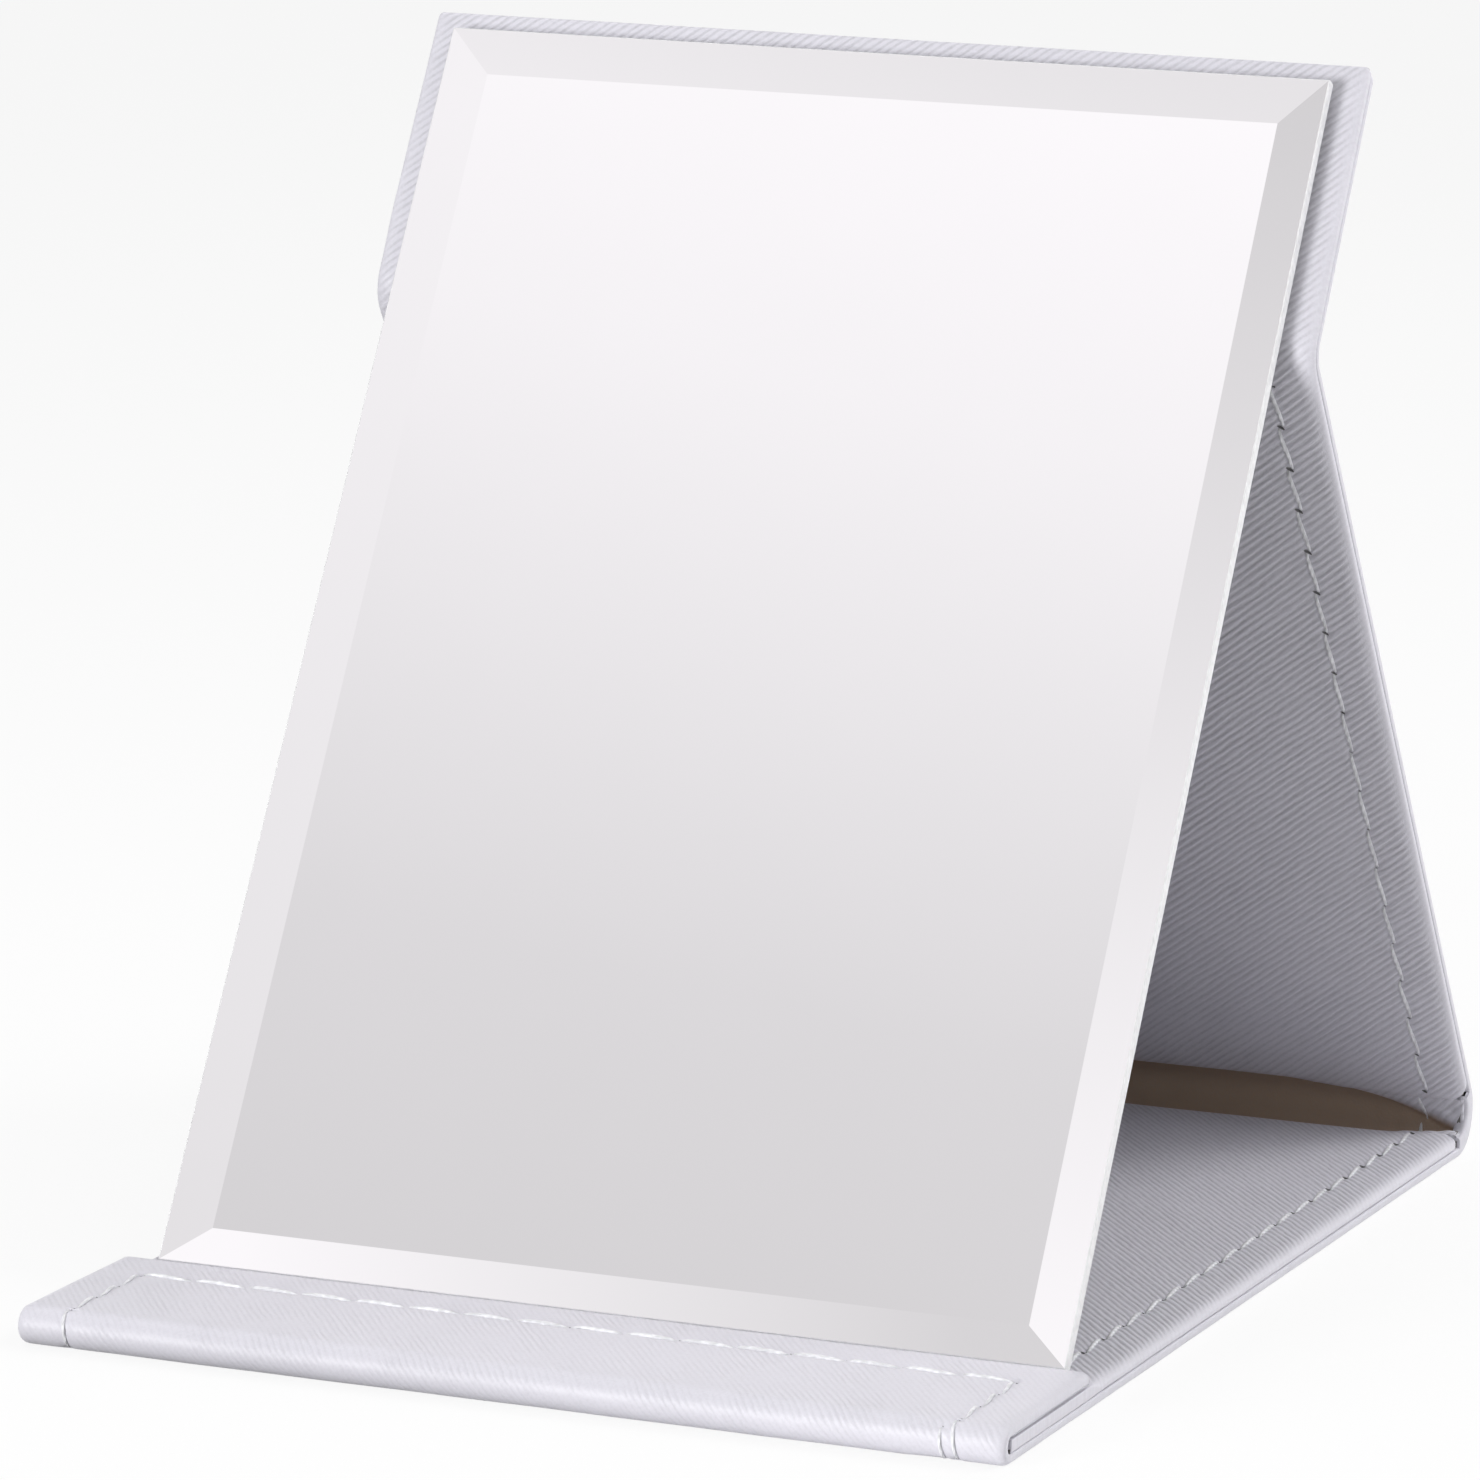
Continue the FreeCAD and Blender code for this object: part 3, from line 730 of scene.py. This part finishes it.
class Row:
    """A straight row of stitches, along the strip ("s") or across it ("x"), from hole to hole.

    Dots is the size of the dark dots of painted shade at its needle holes and bold the thickness of its
    thread, as shares of the usual.
    """

    def __init__(self, way, at, first, last, dots=1.0, bold=1.0):
        self.way = way
        self.at = at
        self.first = first
        self.count = max(1, round((last - first) / PITCH))
        self.pitch = (last - first) / self.count
        self.dots = dots
        self.bold = bold

    def local(self, x, s):
        """Distance along the row and off it."""
        return (s - self.first, x - self.at) if self.way == "s" else (x - self.first, s - self.at)

    def strip_place(self, along, off):
        if self.way == "s":
            return self.at + off, self.first + along
        return self.first + along, self.at + off

    def uneven(self, index, seed):
        """A steady uneven value for one stitch or hole, -1 to 1."""
        return math.sin(UNEVEN_STEP * index + UNEVEN_SEED * seed + self.at)

    def relief(self, x, s):
        """How far the leather is drawn in by the thread."""
        along, off = self.local(x, s)
        span = self.count * self.pitch
        within = np.clip(1 + np.minimum(along, span - along), 0, 1)
        groove = GROOVE * np.exp(-(off / GROOVE_WIDTH) ** 2)
        to_hole = np.mod(along + self.pitch / 2, self.pitch) - self.pitch / 2
        hole = HOLE_DEPTH * np.exp(-(to_hole ** 2 + off ** 2) / HOLE_WIDTH ** 2)
        return within * (groove + hole)


def side_rows(first, last, inset=STITCH_INSET, **look):
    place = HALF - inset
    return [Row("s", -place, first, last, **look), Row("s", place, first, last, **look)]


def sewn(rows):
    return lambda x, s: sum(row.relief(x, s) for row in rows)


def ring_faces(start, flip):
    """Faces between one ring of points and the next."""
    quads = [[start + i, start + (i + 1) % RING, start + RING + (i + 1) % RING, start + RING + i]
             for i in range(RING)]
    return [quad[::-1] for quad in quads] if flip else quads


def thread_mesh(surface, face, toward, rows, ground=None):
    """Points, faces, strip and face materials of stitches that dive into their holes, and of the dark dots
    of painted shade at the holes.
    """
    points, faces, strip, slots = [], [], [], []
    around = np.linspace(0, 2 * math.pi, RING, endpoint=False)

    def lay_ring(x, s, height, marks):
        sunk = SINK_SHARE * sewn(rows)(x, s) + THREAD_SINK
        if ground:
            sunk = sunk + ground(x, s)
        points.extend(surface.place(x, s, face - toward * (height - sunk)))
        strip.extend(marks)

    for row in rows:
        flip = (surface.hand * toward > 0) == (row.way == "s")
        for i in range(row.count):
            start = len(points)
            swing = SLANT * (1 + SLANT_CHANGE * row.uneven(i, 1))
            for j, u in enumerate(np.linspace(0, 1, STATIONS)):
                arch = math.sin(math.pi * u)
                radius = row.bold * THREAD_RADIUS * max(THIN_END, arch) ** TAPER
                along = np.full(RING, i * row.pitch + STITCH_GAP / 2 + (row.pitch - STITCH_GAP) * u)
                off = swing * math.cos(math.pi * u) + radius * np.cos(around)
                height = radius * np.sin(around) + THREAD_ARCH * math.sqrt(arch) - THREAD_DIP
                marks = np.stack([along, around, np.zeros(RING)], axis=-1)
                lay_ring(*row.strip_place(along, off), height, marks)
                if j:
                    faces.extend(ring_faces(start + (j - 1) * RING, flip))
            last = start + (STATIONS - 1) * RING
            first_cap, last_cap = list(range(start, start + RING)), list(range(last, last + RING))
            faces.append(first_cap if flip else first_cap[::-1])
            faces.append(last_cap[::-1] if flip else last_cap)
        slots.extend([0] * (len(faces) - len(slots)))
        # Each needle hole is a dark dot of painted shade.
        for i in range(row.count + 1):
            size = row.dots * (DOT_SIZE + DOT_CHANGE * row.uneven(i, 2))
            start = len(points)
            for share, height in ((1.0, DOT_RIM), (DOT_FLOOR, 0.0)):
                across = DOT_ACROSS * size * share * np.sin(around)
                along = i * row.pitch + DOT_ALONG * size * share * np.cos(around) - DOT_SKEW * across
                lay_ring(*row.strip_place(along, across), height, np.zeros((RING, 3)))
            faces.extend(ring_faces(start, False))
            faces.append(list(range(start + RING, start + 2 * RING)))
            slots.extend([1] * (RING + 1))
    return points, faces, strip, slots


def sew(name, seams):
    """One piece of thread for several (surface, face, toward, rows)."""
    points, faces, strip, slots = [], [], [], []
    for seam in seams:
        p, f, t, m = thread_mesh(*seam)
        faces.extend([[index + len(points) for index in face] for face in f])
        points.extend(p)
        strip.extend(t)
        slots.extend(m)
    piece = new_piece(name, np.array(points), faces, [THREAD, HOLE_PAINTED_SHADE], strip, slots)
    return piece


# Leather of the panels

def even_rows(first, last, step):
    return np.linspace(first, last, max(2, int(round((last - first) / step)) + 1))


def put_leather(panel, skin, side, first, last, lay, near=None, far=None, rows=None):
    """The outer cover or the inner lining of one panel, from one place along the strip to another."""
    face, toward, material = (0, 1, COVER) if skin == "cover" else (panel.thickness, -1, LINING)
    if near:
        first = first + near.out.max()
    if far:
        last = last - far.out.max()
    relief = sewn(rows) if rows else None
    piece = leather_sheet("%s_%s_skin" % (panel.name, skin), panel, face, toward, side,
                          even_rows(first, last, ROW_STEP), material, near, far, relief, lay)
    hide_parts("%s_%s" % (panel.name, skin))
    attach(piece, panel.body)


def end_rows(panel, dots=1.0):
    """Side rows, with lighter stitches, that meet a row across the free end."""
    turn = panel.length - END_STITCH_INSET
    reach = HALF - STITCH_INSET
    sides = side_rows(END_ROW_GAP, turn, dots=SIDE_DOTS * dots, bold=SIDE_BOLD)
    return sides + [Row("x", turn, -reach, reach, dots)]


def toward_ends(x):
    """How far a place across the spine belongs to its closed ends."""
    return np.clip((np.abs(x) - OPEN_HALF) / CLOSING_RUN, 0, 1) ** 2


def bulge(value, width):
    """A rounded rise that starts steeply."""
    t = np.clip(value / width, 0, 1)
    return np.sqrt(1 - (1 - t) ** 2)


def fill_from_back(x, q=1.0):
    """How far the back's leather fills the valley, 0 to 1 for flush, at a share of the way round it."""
    return bulge(q - BACK_FILL_START + BACK_FILL_REACH * toward_ends(x), BACK_FILL_WIDTH)


def fill_from_base(x, q=0.0):
    """How far the base's leather fills the valley, at a share of the way round it."""
    return bulge(BASE_FILL_REACH * smooth(np.abs(x), *BASE_FILL_X) - q, BASE_FILL_WIDTH)


base_rows = side_rows(FLAP_PANEL.length + PANEL_ROW_GAP, BASE.length - PANEL_ROW_GAP)
back_rows = side_rows(PANEL_ROW_GAP, BACK.length - PANEL_ROW_GAP, BACK_STITCH_INSET)
top_rows = end_rows(TOP)
flap_rows = end_rows(FLAP_PANEL, dots=FLAP_DOTS)

cover_side = rolled_edge(COVER_ROLL, SEAM)
lining_side = rolled_edge(LINING_ROLL, RISE)
tight_side = rolled_edge(TIGHT_ROLL, RISE)
top_end = rolled_edge(TOP_ROLL, RISE)
top_side = lining_side.turning(top_end, lambda s: smooth(s, 0, TOP_ROLL_RUN))
base_front = rolled_edge(TIGHT_ROLL, BASE_FRONT_DROP)
base_side = lining_side.turning(
    tight_side, lambda s: 1 - smooth(s, FLAP_PANEL.length, FLAP_PANEL.length + TIGHT_ROLL_RUN))
flap_side = rolled_edge(FLAP_ROLL, FLAP_WRAP, FLAP_CURL)
flap_end = rolled_edge(FLAP_END_ROLL, FLAP_WRAP, FLAP_CURL)
flap_under = Edge(quarter(FLAP_UNDER_ROLL, FLAP - FLAP_WRAP, FLAP_UNDER_STEPS))
spine_roll = rolled_edge(SPINE_ROLL, SPINE_ROLL_DROP)
flush_end = spine_roll.squared()
back_end = spine_roll.turning(flush_end, fill_from_back)
base_end = spine_roll.turning(flush_end, fill_from_base)

REAR_HIDE = {"turn": math.radians(-10), "scale": 0.92}
FLAP_HIDE = {"turn": math.radians(3), "scale": 1.1}
back_slide = BASE.length + SPINE.length
upper_slide = back_slide + BACK.length
top_slide = upper_slide + UPPER.length
top_lining_slide = upper_slide + UPPER.length * UPPER.stretch(PANEL)
back_lay, back_lining_lay = Lay(-1, 1, back_slide), Lay(-1, 1, back_slide, **REAR_HIDE)
top_lay, top_lining_lay = Lay(-1, 1, top_slide), Lay(-1, 1, top_lining_slide, **REAR_HIDE)
flap_lay = Lay(-1, -1, -NOSE.length, **FLAP_HIDE)

put_leather(BASE, "cover", cover_side, 0, BASE.length, Lay(-1))
put_leather(BASE, "lining", base_side, BASE_FRONT_GAP, BASE.length, Lay(), base_front, base_end, base_rows)
put_leather(BACK, "cover", cover_side, 0, BACK.length, back_lay, None, None, back_rows)
put_leather(BACK, "lining", lining_side, 0, BACK.length, back_lining_lay, back_end, None, back_rows)
put_leather(TOP, "cover", cover_side, 0, TOP.length, top_lay, None, cover_side, top_rows)
put_leather(TOP, "lining", top_side, 0, TOP.length, top_lining_lay, None, top_end)
put_leather(FLAP_PANEL, "cover", flap_side, 0, FLAP_PANEL.length, flap_lay, None, flap_end, flap_rows)
put_leather(FLAP_PANEL, "lining", flap_under, FLAP_UNDER_GAP, FLAP_PANEL.length, Lay(),
            flap_under, flap_under)

for panel, seams in (
    (BASE, [(BASE, PANEL, -1, base_rows)]),
    (BACK, [(BACK, PANEL, -1, back_rows), (BACK, 0, 1, back_rows)]),
    (TOP, [(TOP, 0, 1, top_rows)]),
    (FLAP_PANEL, [(FLAP_PANEL, 0, 1, flap_rows)]),
):
    thread = sew(panel.name + "_thread", seams)
    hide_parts(panel.name + "_stitching")
    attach(thread, panel.body)


# Leather of the folds

def bend(piece, fold, node=None):
    """Hide the fold's part, if named, and bake the piece's placement into its mesh. The fold's end points
    are worked out but not used.
    """
    if node:
        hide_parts(node)
    fold.end_point(0)
    fold.end_point(fold.length)
    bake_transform(piece)


def turned_rim(height):
    """Section of a cover whose edge stands up round the end of a fold and is laid back inside it."""
    out, down = COVER_ROLL
    wall = [(out, (down + height - RIM_CROWN) / 2)]
    laid_back = [(out - RIM_CROWN - back, height - drop) for back, drop in RIM_LAID_BACK]
    crown = turn_under(out, height, RIM_CROWN, RIM_CROWN_STEPS)
    return Edge(quarter(out, down, ROLL_STEPS) + wall + crown + laid_back)


def valley_fill(x, s):
    """How far the leather fills the valley: not at all along the middle, up to a crease at both ends. Where
    it does not fill, the lining is painted the dark taupe shade.
    """
    q = s / SPINE.length
    return np.maximum(fill_from_back(x, q), fill_from_base(x, q))


def valley_sink(x, s):
    """Depth of the valley below its lining's face, with the puckers at its ends."""
    waves = PUCKER * np.sin(PUCKER_ACROSS * np.abs(x) + PUCKER_ALONG * s)
    pucker = waves * toward_ends(x) * (1 - smooth(s / SPINE.length, *PUCKER_FADE))
    return pucker - VALLEY_RISE * valley_fill(x, s)


spine_rows = even_rows(0, SPINE.length, FOLD_STEP)
spine_rim = turned_rim(PANEL - RIM_CLEARANCE)
spine_cover = leather_sheet("spine_cover_skin", SPINE, 0, 1, spine_rim, spine_rows, COVER,
                            lay=Lay(-1, 1, BASE.length))
bend(spine_cover, SPINE, "spine_cover")
valley_inside = np.concatenate([
    np.linspace(0, OPEN_HALF, VALLEY_MIDDLE_STEPS + 1)[:-1],
    np.arange(OPEN_HALF, HALF - VALLEY_RIM, VALLEY_END_STEP),
])
valley_lay = Lay(-1, 1, back_slide - SPINE.length * SPINE.stretch(PANEL), **REAR_HIDE)
valley_side = rolled_edge(VALLEY_ROLL, STRIP_DROP)
# The valley lining shows the painted taupe shade where the fill leaves its middle open.
valley = leather_sheet("spine_valley_lining", SPINE, VALLEY_FACE, -1, valley_side, spine_rows, VALLEY,
                       relief=valley_sink, lay=valley_lay, inside=valley_inside, half=HALF - VALLEY_INSET,
                       tone=valley_fill, hide_depth=PANEL)
bend(valley, SPINE, "spine_lining")
crossing = side_rows(SPINE_ROW_GAP, SPINE.length - SPINE_ROW_GAP, dots=SPINE_DOTS)
bend(sew("spine_thread", [(SPINE, VALLEY_FACE, -1, crossing, valley_sink)]), SPINE)

nose_rows = even_rows(0, NOSE.length, FOLD_STEP)
nose_look = {"dots": NOSE_DOTS, "bold": NOSE_BOLD}
nose_seams = side_rows(NOSE_ROW_GAPS[0], NOSE.length - NOSE_ROW_GAPS[1], **nose_look)
nose_seams.append(Row("s", HALF - STITCH_INSET - NOSE_TAIL_SHIFT, NOSE_TAIL_GAPS[0],
                      NOSE.length - NOSE_TAIL_GAPS[1], **nose_look))
nose_side = cover_side.turning(flap_side, lambda s: smooth(s, 0, NOSE.length))
nose_cover = leather_sheet("nose_cover_skin", NOSE, 0, 1, nose_side, nose_rows, COVER,
                           relief=sewn(nose_seams), lay=Lay(-1, -1, 0, **FLAP_HIDE))
bend(nose_cover, NOSE, "nose_cover")
nose_under = rolled_edge(TIGHT_ROLL, STRIP_DROP)
nose_lining = leather_sheet("nose_lining_skin", NOSE, NOSE_LINING_DEPTH, -1, nose_under, nose_rows, LINING,
                            half=HALF - NOSE_LINING_INSET)
bend(nose_lining, NOSE, "nose_lining")
bend(sew("nose_thread", [(NOSE, 0, 1, nose_seams)]), NOSE)

upper_rows = even_rows(0, UPPER.length, FOLD_STEP)
upper_cover = leather_sheet("upper_fold_cover_skin", UPPER, 0, 1, cover_side, upper_rows, COVER,
                            lay=Lay(-1, 1, upper_slide))
bend(upper_cover, UPPER, "upper_fold_cover")
upper_lining = leather_sheet("upper_fold_lining_skin", UPPER, PANEL, -1, lining_side, upper_rows, LINING,
                             lay=Lay(-1, 1, upper_slide, **REAR_HIDE))
bend(upper_lining, UPPER, "upper_fold_lining")


# Mirror

def make_mirror():
    """Bevelled plate: silvered front and bevels, bright ground edge."""
    half_width = box_mm("mirror_glass")[1][0]
    far = TOP.length - MIRROR_MARGIN
    near = far - MIRROR_HEIGHT
    rear = PANEL + MIRROR_STAND
    edge = rear + EDGE_HEIGHT
    bevels = (BEVEL_LEFT, BEVEL_RIGHT, BEVEL_FOOT, BEVEL_HEAD)
    loops = [([ARRIS] * 4, rear), ([0] * 4, rear + ARRIS), ([0] * 4, edge - ARRIS), ([ARRIS] * 4, edge),
             (bevels, edge + BEVEL_DEPTH)]
    points = []
    for (left, right, foot, head), depth in loops:
        for x, s in ((left - half_width, near + foot), (half_width - right, near + foot),
                     (half_width - right, far - head), (left - half_width, far - head)):
            points.append(TOP.place(np.array([x]), np.array([s]), np.array([depth]))[0])
    faces, slots = [[3, 2, 1, 0]], [1]
    for loop in range(len(loops) - 1):
        for i in range(4):
            a, b = 4 * loop + i, 4 * loop + (i + 1) % 4
            faces.append([a, b, b + 4, a + 4])
            slots.append(0 if loop == len(loops) - 2 else 1)
    last = 4 * (len(loops) - 1)
    faces.append([last, last + 1, last + 2, last + 3])
    slots.append(0)
    plate = new_piece("mirror_plate", np.array(points), faces, [SILVER, GLASS_EDGE],
                      face_materials=slots, smooth=False)
    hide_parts("mirror_glass")
    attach(plate, "mirror_panel")


make_mirror()

# Inner pieces keep their solids
for node, material in (
    ("base_board", GREYBOARD),
    ("back_board", GREYBOARD),
    ("top_board", GREYBOARD),
    ("flap_board", GREYBOARD),
    ("base_catch_plates", STEEL),
    ("top_catch_plates", STEEL),
    ("flap_magnets", MAGNET),
    ("mirror_tape", FOAM),
    ("mirror_coating", BACK_PAINT),
):
    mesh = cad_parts[node].data
    mesh.materials.clear()
    mesh.materials.append(material)


# Studio. Heights are in degrees above the floor, and x is how far a direction points to the right, -1 to 1.

# What the mirror shows of it: a bright band between grey ones. It leans up to the right, and its left end
# is set higher.
BANDS = ((36, 0.66), (40, 0.66), (42.8, 0.72), (46.7, 0.93), (49, 1.0), (51.5, 0.98), (60, 0.66), (75, 0.8))
BAND_TOP = 90
BAND_SHIFT = -6.3
BAND_LEAN = -17.0
BAND_STEP = 11.6
BAND_STEP_X = (-0.30, -0.19)

# Below the bands, on the far left and at the horizon
LOW_HEIGHTS = (35.0, 38.5)
LOW_X, LOW_LEVELS = (-0.42, -0.34), (0.99, 0.69)
LEFT_X = (-0.45, -0.52)
LEFT_HEIGHTS, LEFT_LEVELS = (37.0, 44.5), (0.785, 0.93)
HORIZON_LEVEL = 1.0
HORIZON_HEIGHTS = (15.0, 28.0)

# Light that the world and the floor throw on the object, from front to rear and from left to right
WORLD_LIGHT = (0.13, 1.1)
FLOOR_REACH = 20000.0
FLOOR_X = (-30.0, 60.0)
FLOOR_LIGHT = (0.15, 0.9)
FLOOR_COLOUR = 0.95
FLOOR_WHITE = 0.88

# Lamps: azimuth and elevation in degrees, distance, size and power
LAMPS = {
    "key": (75, 55, 1000, 400, 1.0),
    "front": (-20, 6, 900, 300, 6.0),
    "high": (-95, 62, 450, 220, 0.3),
    "fore_right": (30, 35, 1000, 400, 0.8),
    "side": (100, 25, 1100, 400, 1.2),
    "rear_right": (120, 40, 1000, 400, 3.8),
    "rear": (180, 35, 1200, 600, 1.0),
}
LAMP_AIM = 80.0

# Camera, fitted to the photograph
CAMERA_AZIMUTH = math.radians(22.22)
CAMERA_ELEVATION = math.radians(10.587)
CAMERA_ROLL = math.radians(1.041)
CAMERA_TARGET = (0.460, -20.512, 75.191)
CAMERA_DISTANCE = 1149.22
CAMERA_LENS = 205.109
CAMERA_SENSOR = 36.0


def outward(azimuth, elevation):
    """Direction out from the object: azimuth 0 is in front, and a quarter turn is to the right."""
    return Vector((math.sin(azimuth) * math.cos(elevation), -math.cos(azimuth) * math.cos(elevation),
                   math.sin(elevation)))


def is_seen(tree):
    """1 for rays that show the background directly, in a mirror or through glass."""
    path = add_node(tree, "ShaderNodeLightPath")
    seen = math_node(tree, "MAXIMUM", path.outputs["Is Camera Ray"], path.outputs["Is Glossy Ray"])
    return math_node(tree, "MAXIMUM", seen, path.outputs["Is Transmission Ray"])


def make_world():
    """Soft light, most of it from the rear. What is seen of it grades between white and pale grey."""
    world = bpy.data.worlds.new("studio")
    bpy.context.scene.world = world
    world.use_nodes = True
    tree = world.node_tree
    tree.nodes.clear()
    generated = add_node(tree, "ShaderNodeTexCoord").outputs["Generated"]
    way = add_node(tree, "ShaderNodeSeparateXYZ", {0: generated})
    across = way.outputs["X"]
    height = product(tree, math_node(tree, "ARCSINE", way.outputs["Z"]), 180 / math.pi)

    def between(value, bounds, levels=WHOLE):
        return remap(tree, value, *bounds, *levels)

    lifted = math_node(tree, "ADD", height, between(across, BAND_STEP_X, (0.0, BAND_STEP)))
    leaning = math_node(tree, "MULTIPLY_ADD", across, BAND_LEAN, math_node(tree, "ADD", lifted, BAND_SHIFT))
    ramp = add_node(tree, "ShaderNodeValToRGB", {"Fac": math_node(tree, "DIVIDE", leaning, BAND_TOP)})
    while len(ramp.color_ramp.elements) < len(BANDS):
        ramp.color_ramp.elements.new(1.0)
    for element, (degrees, level) in zip(ramp.color_ramp.elements, BANDS):
        element.position = degrees / BAND_TOP
        element.color = (level, level, level, 1)
    low = between(across, LOW_X, LOW_LEVELS)
    level = blend_value(tree, between(height, LOW_HEIGHTS), low, ramp.outputs[0])
    left = between(height, LEFT_HEIGHTS, LEFT_LEVELS)
    level = blend_value(tree, between(across, LEFT_X), level, left)
    level = blend_value(tree, between(height, HORIZON_HEIGHTS), HORIZON_LEVEL, level)
    seen = add_node(tree, "ShaderNodeBackground", {"Color": level, "Strength": 1.0})
    soft = between(way.outputs["Y"], WHOLE, WORLD_LIGHT)
    light = add_node(tree, "ShaderNodeBackground", {"Color": soft, "Strength": 1.0})
    shown = {0: is_seen(tree), 1: light.outputs[0], 2: seen.outputs[0]}
    mixed = add_node(tree, "ShaderNodeMixShader", shown)
    output = add_node(tree, "ShaderNodeOutputWorld")
    tree.links.new(mixed.outputs[0], output.inputs["Surface"])


def make_floor():
    """Plain pale floor, white where it is seen, with a faint shadow.

    It throws light back mostly on the right.
    """
    corners = FLOOR_REACH * np.array([(-1, -1, 0), (1, -1, 0), (1, 1, 0), (-1, 1, 0)])
    material = bpy.data.materials.new("floor")
    material.use_nodes = True
    tree = material.node_tree
    tree.nodes.clear()
    place = add_node(tree, "ShaderNodeSeparateXYZ", {0: object_point(tree)})
    thrown = remap(tree, place.outputs["X"], FLOOR_X[0] * MM, FLOOR_X[1] * MM, *FLOOR_LIGHT)
    colour = blend_value(tree, is_seen(tree), thrown, FLOOR_COLOUR)
    matt = add_node(tree, "ShaderNodeBsdfDiffuse", {"Color": colour})
    white = add_node(tree, "ShaderNodeEmission", {"Color": (1, 1, 1, 1), "Strength": 1.0})
    shown = {0: product(tree, is_seen(tree), FLOOR_WHITE), 1: matt.outputs[0], 2: white.outputs[0]}
    mixed = add_node(tree, "ShaderNodeMixShader", shown)
    output = add_node(tree, "ShaderNodeOutputMaterial")
    tree.links.new(mixed.outputs[0], output.inputs["Surface"])
    floor = new_piece("floor", corners, [[0, 1, 2, 3]], [material])


def make_lamp(name, azimuth, elevation, distance, size, power):
    """A soft square lamp that faces the object."""
    way = outward(math.radians(azimuth), math.radians(elevation))
    data = bpy.data.lights.new(name, "AREA")
    data.size = size * MM
    data.energy = power
    lamp = bpy.data.objects.new(name, data)
    lamp.location = Vector((0, 0, LAMP_AIM * MM)) + way * distance * MM
    lamp.rotation_euler = way.to_track_quat("Z", "Y").to_euler()
    bpy.context.scene.collection.objects.link(lamp)


def make_camera():
    back = outward(CAMERA_AZIMUTH, CAMERA_ELEVATION)
    right = Vector((0, 0, 1)).cross(back).normalized()
    up = back.cross(right)
    rolled_right = math.cos(CAMERA_ROLL) * right + math.sin(CAMERA_ROLL) * up
    rolled_up = math.cos(CAMERA_ROLL) * up - math.sin(CAMERA_ROLL) * right
    data = bpy.data.cameras.new("camera")
    data.lens = CAMERA_LENS
    data.sensor_width = CAMERA_SENSOR
    data.clip_start, data.clip_end = 0.01, 100.0
    camera = bpy.data.objects.new("camera", data)
    rotation = Matrix((rolled_right, rolled_up, back)).transposed().to_4x4()
    eye = Vector(CAMERA_TARGET) + back * CAMERA_DISTANCE
    camera.matrix_world = Matrix.Translation(eye * MM) @ rotation
    bpy.context.scene.collection.objects.link(camera)
    bpy.context.scene.camera = camera


make_world()
make_floor()
for lamp_name, settings in LAMPS.items():
    make_lamp(lamp_name, *settings)
make_camera()
bpy.context.scene.view_settings.view_transform = "Standard"
